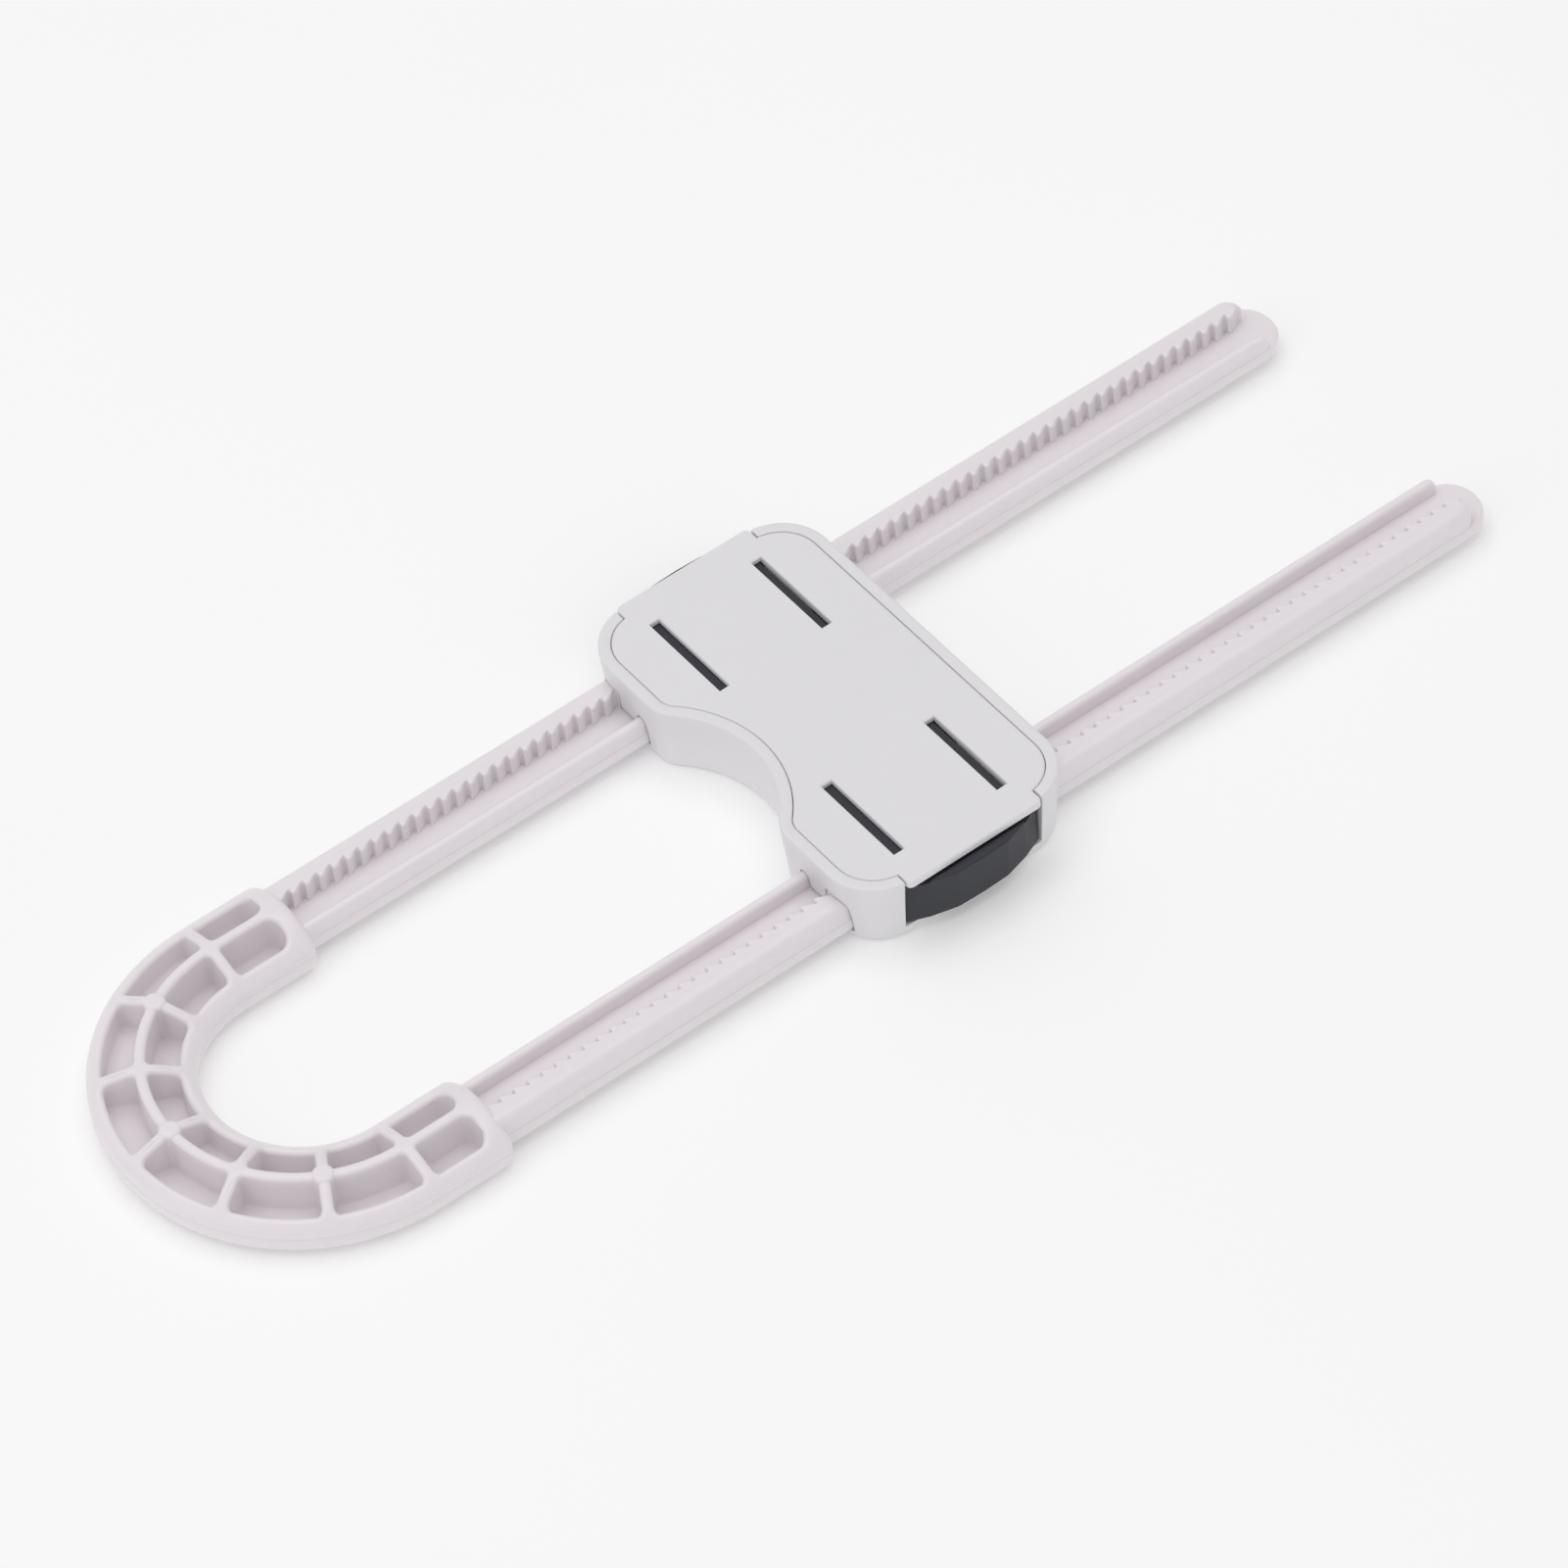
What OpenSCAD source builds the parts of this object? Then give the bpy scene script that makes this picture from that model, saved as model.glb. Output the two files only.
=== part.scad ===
// Sliding U lock for a pair of cabinet handles.
// A one-piece bow, a ribbed bend with two toothed legs, passes through a block.
// Two side buttons in the block carry pawls that catch in the teeth, and springs push the buttons out.
// The lock lies on its front, with its back cover up.

/* [Bow] */
// Length over everything, from the outside of the bend to the tips of the legs
overall_len = 205; // [180:1:260]
// Distance between the middles of the two legs
leg_spacing = 42.8; // [40:0.2:52]
// Width of the ribbed bend
bend_w = 14.4; // [13:0.2:17]
// Thickness of the ribbed bend at its crown
bend_h = 8.2; // [7.6:0.1:10]
// Radius of the bend's domed upper side
bend_dome_r = 9.8; // [9:0.1:14]
// Straight run at each end of the bend
bend_run = 12; // [9:0.5:18]
// Rounding of the lower edges of the bend
bend_foot_r = 2.8; // [1:0.1:3]
// Rounding of the ends of the bend, seen from above
bend_end_r = 2.6; // [1:0.2:4]

/* [Bend pockets] */
// Bays between ribs around the half circle
rib_bays = 6; // [4:2:8]
// Thickness of the ribs
rib_w = 1.3; // [1:0.1:1.8]
// Thickness of the inner and outer walls of the bend
bend_wall = 2.3; // [1.8:0.1:2.8]
// Thickness of the end wall that a leg leaves through
end_wall = 2.8; // [2:0.1:4]
// Thickness of the floor under the pockets
bend_floor = 2; // [1.2:0.1:3]
// Diameter of the round bosses on every second rib
rib_boss_d = 2.8; // [2:0.1:3.6]
// Rounding of the end pockets, seen from above
pocket_r = 1.5; // [0.5:0.1:1.8]

/* [Legs] */
// Width of a leg
leg_w = 9.5; // [9:0.1:11]
// Height of the underside of the legs above the surface that the lock lies on
leg_lift = 1.8; // [1.5:0.1:2.4]
// Thickness of the base plate of a leg
leg_plate_t = 2.1; // [1.6:0.1:2.5]
// Height of the toothed rail above the base plate
rack_rail_h = 3.2; // [2.6:0.1:3.6]
// Height of the plain rail above the base plate
guide_rail_h = 2.4; // [1.8:0.1:2.6]
// Step from the edge of the base plate in to the rails
rail_step = 0.15; // [0.1:0.05:0.4]
// Width of the toothed rail, teeth included
rack_rail_w = 3.6; // [3.2:0.05:3.9]
// Rounding of the outer edge of the toothed rail
rack_rail_r = 0.8; // [0.3:0.1:1.1]
// Width of the plain rail
guide_rail_w = 1.5; // [1.2:0.1:1.8]
// Distance from the tip back to the end of the toothed rail
rack_rail_stop = 3.4; // [2:0.1:6]
// Distance from the tip back to the end of the plain rail
guide_rail_stop = 4.7; // [2:0.1:6]

/* [Rack] */
// Distance from tooth to tooth
tooth_pitch = 2.2; // [1.9:0.05:2.6]
// Depth of the teeth
tooth_depth = 1; // [0.85:0.05:1.15]
// Flat on the crest of a tooth
tooth_land = 0.4; // [0.2:0.05:0.6]
// Length of rack that lies hidden in the end wall of the bend
rack_lead = 0.4; // [0:0.1:1.5]

/* [Block] */
// Length of the block along the legs
block_len = 36; // [34:0.2:44]
// Distance from the outside of a leg to the side of the block
side_margin = 5; // [4.8:0.1:7]
// Rounding of the corners of the block, seen from above
block_r = 7.8; // [7.4:0.1:9]
// Thickness of the side walls
case_wall = 1.75; // [1.4:0.05:2]
// How far the side walls lean in from the rim down to the front
case_draft = 0.6; // [0.3:0.1:1.6]
// Rounding of the front edges
case_foot_r = 1.2; // [0.4:0.1:1.6]
// Depth of the finger recess on the bend side
recess_depth = 5.9; // [4:0.1:6.6]
// Radius of the finger recess
recess_r = 16.5; // [14:0.5:20]
// Rounding where the finger recess meets the bend side
recess_blend_r = 5; // [4.6:0.1:6]
// Height of the lip under each button
lip_h = 2; // [1.9:0.1:2.6]
// Teeth between the bend and the block where the block is set
rest_tooth = 33; // [26:1:48]
// Clearance around the legs and the sliding pieces
run_gap = 0.25; // [0.2:0.05:0.35]

/* [Back cover] */
// Thickness of the cover
cover_t = 1.2; // [1:0.1:1.8]
// Seam between the cover and the rim of the case
seam = 0.08; // [0.05:0.01:0.2]
// Width of the tab over each button
tab_w = 21.4; // [19:0.2:23]
// How far a tab stands past the side of the case
tab_reach = 0.35; // [0:0.05:1]
// Gap beside a tab
tab_notch = 0.5; // [0.3:0.05:0.7]
// Length of the slots
slot_l = 15.2; // [12:0.2:16]
// Width of the slots
slot_w = 1.6; // [1.2:0.1:2]
// Distance between the two slots over one leg
slot_spacing = 16.9; // [14:0.1:18]
// How far the middle of a slot lies inboard of the middle of the leg
slot_inboard = 2.85; // [2:0.05:4]

/* [Buttons] */
// Travel of a button
button_travel = 1.5; // [1.3:0.05:1.7]
// How far a button stands past the side of the case at its middle
button_proud = 1.85; // [1:0.05:3]
// How far the ends of a button lie behind its middle
button_bulge = 2.9; // [1.5:0.1:3.5]
// Thickness of the sliding plate of a button
slide_plate_t = 2.3; // [1.6:0.1:3]
// Clearance between a button and the cover above it
cover_gap = 0.4; // [0.2:0.05:0.5]
// Teeth on a pawl
pawl_teeth = 4; // [2:1:6]
// Thickness of a pawl behind its teeth
pawl_back_t = 2; // [1.6:0.1:2.1]

/* [Springs] */
// Outside diameter of a spring
spring_d = 5; // [4:0.1:6]
// Diameter of the spring wire
wire_d = 0.5; // [0.4:0.05:0.6]
// Turns of a spring
spring_turns = 6; // [4:1:7]

/* [Hidden] */
$fn = 64;

// Colours of the mouldings and the wire
white_plastic = [0.87, 0.86, 0.87];
grey_plastic = [0.26, 0.27, 0.29];
spring_steel = [0.62, 0.63, 0.65];

// Overrun of every cut, and how far pieces of one moulding run into each other
overrun = 1;
tie = 0.2;

// Where the bow's pieces lie along X
tip_x = overall_len / 2;
leg_y = leg_spacing / 2;
bend_x = -tip_x + leg_y + bend_w / 2;
bend_end_x = bend_x + bend_run;
leg_start_x = bend_end_x - end_wall;

// Inner and outer edges of the two rows of pockets, as distances from the middle of the bend
inner_row = [leg_y - bend_w / 2 + bend_wall, leg_y - rib_w / 2];
outer_row = [leg_y + rib_w / 2, leg_y + bend_w / 2 - bend_wall];

// Edges and levels of a leg
leg_in_y = leg_y - leg_w / 2;
leg_out_y = leg_y + leg_w / 2;
leg_floor_z = leg_lift + leg_plate_t;
leg_top_z = leg_floor_z + rack_rail_h;

// Rack lines: the roots and crests of the teeth, and the ends of the rack
root_y = leg_out_y - rail_step - rack_rail_w + tooth_depth;
crest_y = root_y - tooth_depth;
rack_x = bend_end_x - rack_lead;
rack_end_x = tip_x - rack_rail_stop;
rack_teeth = floor((rack_end_x - rack_x) / tooth_pitch);

// The block's place, plan and levels
block_x = rack_x + rest_tooth * tooth_pitch;
block_half_x = block_len / 2;
block_half_y = leg_out_y + side_margin;
case_floor = leg_lift - run_gap;
slide_z = leg_top_z + run_gap;
slide_top_z = slide_z + slide_plate_t;
cover_z = slide_top_z + cover_gap;
block_h = cover_z + cover_t;
recess_x = -block_half_x + recess_depth - recess_r;
blend_x = -block_half_x + recess_blend_r;
blend_y = sqrt(pow(recess_r + recess_blend_r, 2) - pow(blend_x - recess_x, 2));
recess_turn = atan2(blend_y, blend_x - recess_x);
corner_steps = 12;
blend_steps = 6;
recess_steps = 12;
foot_steps = 4;
window_half_x = tab_w / 2 + tab_notch;
cavity_foot_r = 0.4;

// How far the side walls lean in at a height
function draft_at(z) = case_draft * (1 - z / block_h);

// Ribs inside the case: the walls that guide the legs, the rib between the springs,
// and the sockets of the cover's pins
guide_t = 1.2;
spring_rib_w = 11;
spring_rib_t = 2.4;
socket_r = 1.9;
pin_r = 1;
pin_l = 4;
pin_gap = 0.05;
socket_x = block_half_x - case_wall - socket_r - guide_t / 2;
socket_y = leg_in_y - run_gap - guide_t - socket_r;

// Slots and the ribs under the cover that guide the buttons
slot_y = leg_y - slot_inboard;
slot_in_y = slot_y - slot_l / 2;
slot_edge_x = slot_spacing / 2 + slot_w / 2;
cover_rib_t = 1.2;
cover_rib_in_y = socket_y + socket_r + run_gap;

// Button levels and edges
button_half_x = window_half_x - run_gap;
button_z = lip_h + run_gap;
button_out_y = block_half_y + button_proud;
button_end_y = button_out_y - button_bulge;
grip_back_y = leg_out_y + button_travel + run_gap;
slide_half_x = slot_edge_x - run_gap;
slide_in_y = slot_in_y - run_gap;
ear_w = 0.8;
ear_t = 1.4;
ear_out_y = block_half_y - draft_at(slide_z) - case_wall - 2 * run_gap;
cover_rib_out_y = ear_out_y - ear_t - button_travel - run_gap;
seat_w = 8;
seat_t = 1.5;

// Places of the corners between a button's facets: shares of its half width, and of its bulge
facet_x_shares = [1, 0.715, 0.37, 0];
facet_y_shares = [0, 0.54, 0.95, 1];

// Pawl lines
mesh_gap = run_gap * 4 / 5;
pawl_face_y = crest_y - mesh_gap;
pawl_slope = tooth_depth / (tooth_pitch - tooth_land);
pawl_tip_y = root_y - mesh_gap - pawl_slope * mesh_gap;

// Spring lines: the axis, the seats and the winding
spring_z = (case_floor + cover_z) / 2;
spring_in_y = spring_rib_t / 2;
spring_out_y = slide_in_y;
coil_r = (spring_d - wire_d) / 2;
spigot_r = spring_d / 2 - 2 * wire_d;
spigot_l = 1.6;
curl_rings = 8;
wire_sides = 6;

// The section of the bend: straight sides, a rounded foot and a domed top, standing on the X axis
module bend_section() {
  intersection() {
    union() {
      translate([-bend_w / 2, bend_foot_r]) square([bend_w, bend_h - bend_foot_r]);
      translate([-bend_w / 2 + bend_foot_r, 0]) square([bend_w - 2 * bend_foot_r, bend_h]);
      for (side = [-1, 1]) translate([side * (bend_w / 2 - bend_foot_r), bend_foot_r]) circle(bend_foot_r);
    }
    translate([0, bend_h - bend_dome_r]) circle(bend_dome_r);
  }
}

// A rectangle from the Y axis to x = l, between two heights, with its far corners rounded
module round_end_plan(l, low, high, r) {
  translate([0, low]) square([l - r, high - low]);
  translate([0, low + r]) square([l, high - low - 2 * r]);
  for (y = [low + r, high - r]) translate([l - r, y]) circle(r);
}

// The solid bend: a half ring and a straight run at each end
module bend_body() {
  translate([bend_x, 0, 0]) {
    rotate([0, 0, 90])
      rotate_extrude(angle = 180)
        translate([leg_y, 0]) bend_section();
    for (side = [-1, 1])
      translate([0, side * leg_y, 0])
        intersection() {
          rotate([90, 0, 90]) linear_extrude(bend_run) bend_section();
          linear_extrude(bend_h) round_end_plan(bend_run, -bend_w / 2, bend_w / 2, bend_end_r);
        }
  }
}

// The two rows of pockets, before the cross ribs divide them
module bend_rows() {
  translate([bend_x, 0, bend_floor]) {
    for (row = [inner_row, outer_row]) {
      rotate([0, 0, 90])
        rotate_extrude(angle = 180)
          translate([row[0], 0]) square([row[1] - row[0], bend_h]);
      for (side = [0, 1])
        mirror([0, side, 0])
          linear_extrude(bend_h) round_end_plan(bend_run - end_wall, row[0], row[1], pocket_r);
    }
  }
}

// The cross ribs, and a round boss on every second one
module bend_ribs() {
  for (i = [0 : rib_bays])
    translate([bend_x, 0, 0])
      rotate([0, 0, 90 + i * 180 / rib_bays]) {
        translate([inner_row[0] - tie, -rib_w / 2, 0])
          cube([outer_row[1] - inner_row[0] + 2 * tie, rib_w, 2 * bend_h]);
        if (i % 2 == 1) translate([leg_y, 0, 0]) cylinder(d = rib_boss_d, h = 2 * bend_h);
      }
}

// The teeth, steep towards the bend and sloped towards the tip, with a strip of the rail behind them
module rack_plan() {
  teeth = [for (k = [0 : rack_teeth - 1], p = [[0, root_y], [0, crest_y], [tooth_land, crest_y]])
    [rack_x + k * tooth_pitch + p[0], p[1]]];
  last = [rack_x + rack_teeth * tooth_pitch, root_y];
  back_y = root_y + tie;
  polygon(concat(teeth, [last, [last[0], back_y], [rack_x, back_y]]));
}

// One leg, on the +Y side: the base plate with its round tip, the toothed rail outside
// and the plain rail inside
module leg() {
  translate([leg_start_x, 0, leg_lift])
    linear_extrude(leg_plate_t) {
      translate([0, leg_in_y]) square([tip_x - leg_w / 2 - leg_start_x, leg_w]);
      translate([tip_x - leg_w / 2 - leg_start_x, leg_y]) circle(leg_w / 2);
    }
  rack_body_w = rack_rail_w - tooth_depth;
  translate([leg_start_x, root_y, leg_floor_z - tie])
    rotate([90, 0, 90])
      linear_extrude(rack_end_x - leg_start_x) {
        square([rack_body_w - rack_rail_r, rack_rail_h + tie]);
        square([rack_body_w, rack_rail_h + tie - rack_rail_r]);
        translate([rack_body_w - rack_rail_r, rack_rail_h + tie - rack_rail_r]) circle(rack_rail_r);
      }
  translate([0, 0, leg_floor_z - tie]) linear_extrude(rack_rail_h + tie) rack_plan();
  guide_r = guide_rail_w / 2;
  translate([leg_start_x, leg_in_y + rail_step, leg_floor_z - tie])
    rotate([90, 0, 90])
      linear_extrude(tip_x - guide_rail_stop - leg_start_x) {
        square([guide_rail_w, guide_rail_h + tie - guide_r]);
        translate([guide_r, guide_rail_h + tie - guide_r]) circle(guide_r);
      }
}

module bow() {
  color(white_plastic) {
    difference() {
      bend_body();
      difference() {
        bend_rows();
        bend_ribs();
      }
    }
    for (side = [0, 1]) mirror([0, side, 0]) leg();
  }
}

// Points along an arc
function arc_points(centre, r, from, to, steps) =
  [for (i = [0 : steps]) let (turn = from + (to - from) * i / steps) centre + r * [cos(turn), sin(turn)]];

// The outline of the block, drawn in all round by inset: the +Y half, and the whole
function half_outline(inset) = concat(
  arc_points([block_half_x - block_r, block_half_y - block_r], block_r - inset, 0, 90, corner_steps),
  arc_points([-block_half_x + block_r, block_half_y - block_r], block_r - inset, 90, 180, corner_steps),
  arc_points([blend_x, blend_y], recess_blend_r - inset, 180, 180 + recess_turn, blend_steps),
  arc_points([recess_x, 0], recess_r + inset, recess_turn - recess_turn / recess_steps, 0, recess_steps - 1)
);
function outline(inset) =
  let (half = half_outline(inset))
  concat(half, [for (i = [len(half) - 2 : -1 : 0]) [half[i][0], -half[i][1]]]);

// The block as a solid whose walls lean in from the rim to a rounded foot, drawn in all round by inset
module block_solid(inset, foot_r) {
  lean = atan(case_draft / block_h);
  foot_in = case_draft + foot_r * (norm([case_draft, block_h]) - case_draft) / block_h;
  foot = [for (i = [0 : foot_steps])
    let (turn = 90 + (lean - 90) * i / foot_steps)
    [foot_in - foot_r * cos(turn), foot_r - foot_r * sin(turn)]];
  levels = concat(foot, [[0, block_h]]);
  count = len(outline(inset));
  top = count * (len(levels) - 1);
  walls = [for (l = [0 : len(levels) - 2], i = [0 : count - 1])
    let (a = l * count + i, b = l * count + (i + 1) % count) [a, a + count, b + count, b]];
  polyhedron(
    points = [for (level = levels, p = outline(inset + level[0])) [p[0], p[1], level[1]]],
    faces = concat(walls, [[for (i = [0 : count - 1]) i], [for (i = [count - 1 : -1 : 0]) top + i]])
  );
}

// A slab between two heights, wider than the block
module slab(low, high) {
  translate([-block_len, -2 * block_half_y, low]) cube([2 * block_len, 4 * block_half_y, high - low]);
}

// What the case holds inside: guide walls for the legs, the rib between the springs,
// sockets for the cover's pins
module case_ribs() {
  inner_guide_y = leg_in_y - run_gap - guide_t;
  intersection() {
    block_solid(case_wall - tie, cavity_foot_r);
    slab(case_floor - tie, cover_z);
    union() {
      for (side = [0, 1])
        mirror([0, side, 0]) {
          translate([-block_half_x, inner_guide_y, 0]) cube([block_len, guide_t, leg_top_z]);
          for (end = [0, 1])
            mirror([end, 0, 0])
              translate([window_half_x, leg_out_y + run_gap, 0])
                cube([block_half_x - window_half_x, guide_t, leg_top_z]);
        }
      translate([-spring_rib_w / 2, -spring_rib_t / 2, 0]) cube([spring_rib_w, spring_rib_t, cover_z]);
      for (x = [-1, 1], y = [-1, 1])
        translate([x * socket_x, y * socket_y, 0])
          difference() {
            cylinder(r = socket_r, h = cover_z);
            translate([0, 0, cover_z - pin_l - overrun])
              cylinder(r = pin_r + pin_gap, h = pin_l + 2 * overrun);
          }
    }
  }
  for (turn = [-90, 90])
    translate([0, 0, spring_z])
      rotate([turn, 0, 0]) cylinder(r = spigot_r, h = spring_rib_t / 2 + spigot_l);
}

module block_case() {
  color(white_plastic)
    translate([block_x, 0, 0]) {
      difference() {
        block_solid(0, case_foot_r);
        intersection() {
          block_solid(case_wall, cavity_foot_r);
          slab(case_floor, cover_z + tie);
        }
        translate([0, 0, cover_z]) linear_extrude(cover_t + overrun) polygon(outline(case_wall));
        for (side = [0, 1])
          mirror([0, side, 0]) {
            translate([-block_len, leg_in_y - run_gap, case_floor])
              cube([2 * block_len, leg_w + 2 * run_gap, leg_top_z + run_gap - case_floor]);
            translate([-window_half_x, block_half_y - 2 * case_wall, lip_h])
              cube([2 * window_half_x, 3 * case_wall, block_h]);
          }
      }
      case_ribs();
    }
}

module back_cover() {
  color(white_plastic)
    translate([block_x, 0, 0]) {
      difference() {
        translate([0, 0, cover_z])
          linear_extrude(cover_t) {
            polygon(outline(case_wall + seam));
            for (side = [0, 1])
              mirror([0, side])
                translate([-tab_w / 2, leg_y]) square([tab_w, block_half_y + tab_reach - leg_y]);
          }
        for (x = [-1, 1], y = [-1, 1])
          translate([x * slot_spacing / 2 - slot_w / 2, y * slot_y - slot_l / 2, cover_z - overrun])
            cube([slot_w, slot_l, cover_t + 2 * overrun]);
      }
      for (x = [0, 1], y = [0, 1])
        mirror([x, 0, 0])
          mirror([0, y, 0]) {
            translate([slot_edge_x, cover_rib_in_y, slide_z + run_gap])
              cube([cover_rib_t, cover_rib_out_y - cover_rib_in_y, cover_z + tie - slide_z - run_gap]);
            translate([socket_x, socket_y, cover_z - pin_l]) cylinder(r = pin_r, h = pin_l + tie);
          }
    }
}

// A pawl: teeth that fill the valleys of the rack, less the clearance
module pawl_plan() {
  half_l = pawl_teeth * tooth_pitch / 2;
  back_y = pawl_face_y - pawl_back_t;
  steep_x = tooth_pitch - mesh_gap;
  tooth = [[tooth_land, pawl_face_y], [steep_x, pawl_tip_y], [steep_x, pawl_face_y]];
  teeth = [for (k = [0 : pawl_teeth - 1], p = tooth) [k * tooth_pitch - half_l + p[0], p[1]]];
  polygon(concat([[-half_l, pawl_face_y]], teeth, [[half_l - mesh_gap, back_y], [-half_l, back_y]]));
}

// The faceted outline of a button's grip
module grip_plan() {
  side = [for (i = [0 : len(facet_x_shares) - 1])
    [facet_x_shares[i] * button_half_x, button_end_y + facet_y_shares[i] * button_bulge]];
  other_side = [for (i = [len(side) - 2 : -1 : 0]) [-side[i][0], side[i][1]]];
  polygon(concat([[button_half_x, grip_back_y]], side, other_side, [[-button_half_x, grip_back_y]]));
}

// A button, on the +Y side: the grip, the plate over the leg, the pawl under it, two stop ears
// and the spring's seat
module button() {
  translate([0, 0, button_z]) linear_extrude(slide_top_z - button_z) grip_plan();
  translate([-slide_half_x, slide_in_y, slide_z])
    cube([2 * slide_half_x, grip_back_y + tie - slide_in_y, slide_plate_t]);
  translate([-button_half_x - ear_w, ear_out_y - ear_t, slide_z])
    cube([2 * (button_half_x + ear_w), ear_t, slide_plate_t]);
  translate([0, 0, leg_floor_z + run_gap])
    linear_extrude(slide_z + tie - leg_floor_z - run_gap) pawl_plan();
  seat_z = spring_z - spring_d / 2;
  translate([-seat_w / 2, slide_in_y, seat_z]) cube([seat_w, seat_t, slide_z + tie - seat_z]);
  translate([0, slide_in_y + tie, spring_z]) rotate([90, 0, 0]) cylinder(r = spigot_r, h = spigot_l + tie);
}

module left_button() {
  color(grey_plastic) translate([block_x, 0, 0]) button();
}

module right_button() {
  color(grey_plastic) translate([block_x, 0, 0]) mirror([0, 1, 0]) button();
}

// The wire's path: square off one seat for one wire diameter, round in even turns,
// and square onto the other seat
curl_count = spring_turns * curl_rings;
winding_in_y = spring_in_y + wire_d;
winding_out_y = spring_out_y - wire_d;
function coil_point(i) =
  let (turn = i * 360 / curl_rings, y = winding_in_y + (winding_out_y - winding_in_y) * i / curl_count)
  [coil_r * cos(turn), y, coil_r * sin(turn)];
wire_path = concat(
  [[coil_r, spring_in_y, 0]],
  [for (i = [0 : curl_count]) coil_point(i)],
  [[coil_r, spring_out_y, 0]]
);
wire_last = len(wire_path) - 1;

// The least gap from turn to turn, measured on the path's points
turn_spans = [for (i = [0 : wire_last], j = [i + curl_rings - 1 : 1 : wire_last])
  norm(wire_path[i] - wire_path[j])];
wire_gap = min(turn_spans) - wire_d;
echo("least gap between turns of a spring, mm", wire_gap);

// Directions along the wire, out from the spring's axis, and square to both
function unit(v) = v / norm(v);
function along_wire(i) = unit(wire_path[min(i + 1, wire_last)] - wire_path[max(i - 1, 0)]);
function out_of_axis(i) = unit([wire_path[i][0], 0, wire_path[i][2]]);
function wire_ring(i) =
  let (out = out_of_axis(i), side = cross(along_wire(i), out))
  [for (k = [0 : wire_sides - 1])
    let (turn = k * 360 / wire_sides)
    wire_path[i] + wire_d / 2 * (cos(turn) * out + sin(turn) * side)];

// A coil spring, on the +Y side, as one unbroken tube
module spring() {
  ring_points = [for (i = [0 : wire_last], p = wire_ring(i)) p];
  walls = [for (i = [0 : wire_last - 1], k = [0 : wire_sides - 1])
    let (a = i * wire_sides + k, b = i * wire_sides + (k + 1) % wire_sides)
    each [[a, a + wire_sides, b], [b, a + wire_sides, b + wire_sides]]];
  end = wire_last * wire_sides;
  caps = [for (k = [1 : wire_sides - 2]) each [[0, k, k + 1], [end, end + k + 1, end + k]]];
  translate([0, 0, spring_z]) polyhedron(points = ring_points, faces = concat(walls, caps));
}

module left_spring() {
  color(spring_steel) translate([block_x, 0, 0]) spring();
}

module right_spring() {
  color(spring_steel) translate([block_x, 0, 0]) rotate([0, 0, 180]) spring();
}

bow();
block_case();
back_cover();
left_button();
right_button();
left_spring();
right_spring();
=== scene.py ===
# %% [markdown]
# # A sliding cabinet lock
# The lock is a U-shaped bow whose two toothed legs run through a block with a button on each side. The
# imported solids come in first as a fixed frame. They give the places and the motion, and this script models
# the visible pieces over them with soft moulded edges, and gives each piece its finish.

import math

import bmesh
import bpy
from mathutils import Matrix, Vector
from mathutils.kdtree import KDTree


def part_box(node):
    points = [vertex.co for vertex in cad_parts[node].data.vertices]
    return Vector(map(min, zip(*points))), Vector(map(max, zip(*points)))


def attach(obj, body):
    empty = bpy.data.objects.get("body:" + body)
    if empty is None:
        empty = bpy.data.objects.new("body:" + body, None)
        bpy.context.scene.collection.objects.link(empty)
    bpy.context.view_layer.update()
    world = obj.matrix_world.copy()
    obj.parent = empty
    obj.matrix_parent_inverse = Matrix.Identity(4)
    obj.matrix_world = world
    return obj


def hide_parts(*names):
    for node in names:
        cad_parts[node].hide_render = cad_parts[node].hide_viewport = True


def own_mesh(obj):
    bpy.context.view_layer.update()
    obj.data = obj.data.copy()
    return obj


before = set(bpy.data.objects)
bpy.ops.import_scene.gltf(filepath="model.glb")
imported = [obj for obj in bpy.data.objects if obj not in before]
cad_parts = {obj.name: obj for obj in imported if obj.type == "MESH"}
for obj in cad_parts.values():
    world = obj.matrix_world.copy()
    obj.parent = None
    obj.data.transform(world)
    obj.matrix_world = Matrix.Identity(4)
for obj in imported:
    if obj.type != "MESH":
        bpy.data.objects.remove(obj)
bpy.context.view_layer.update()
MM = 0.001

# %% [markdown]
# ## Sizes
# Lengths are in millimetres, because that is how such a lock is measured, and they become metres only where
# a corner is laid down. A few values come from the frame: the lock's reach, and the middle of the block.

# %% Driving sizes of the bow
tip_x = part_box("bow")[1].x / MM
leg_spacing = 42.8
leg_y = leg_spacing / 2
bend_w = 14.4
bend_h = 8.2
bend_run = 12.0
bend_x = -tip_x + leg_y + bend_w / 2
bend_end_x = bend_x + bend_run
leg_w = 9.5
leg_lift = 1.8
leg_floor_z = 3.9
print("bend centre at x =", round(bend_x, 2), "mm")

# %% Driving sizes of the block
case_low, case_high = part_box("block_case")
block_x = (case_low.x + case_high.x) / 2 / MM
block_half_x = (case_high.x - case_low.x) / 2 / MM
block_half_y = 31.15
block_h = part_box("back_cover")[1].z / MM
case_wall = 1.75
cover_t = 1.2
cover_z = block_h - cover_t
print("block middle at x =", round(block_x, 2), "mm, half length", round(block_half_x, 2), "mm")

# %% [markdown]
# ## Modelling by extrusion
# Most pieces here are one outline carried along a path or up through a few levels. By hand you would add a
# circle, move its corners onto the outline, and then extrude the end face again and again. These helpers do
# the same: `begin` lays the first outline, `carry_on` extrudes the open end face onto the next one, and
# `close_up` turns every face outwards.

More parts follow.
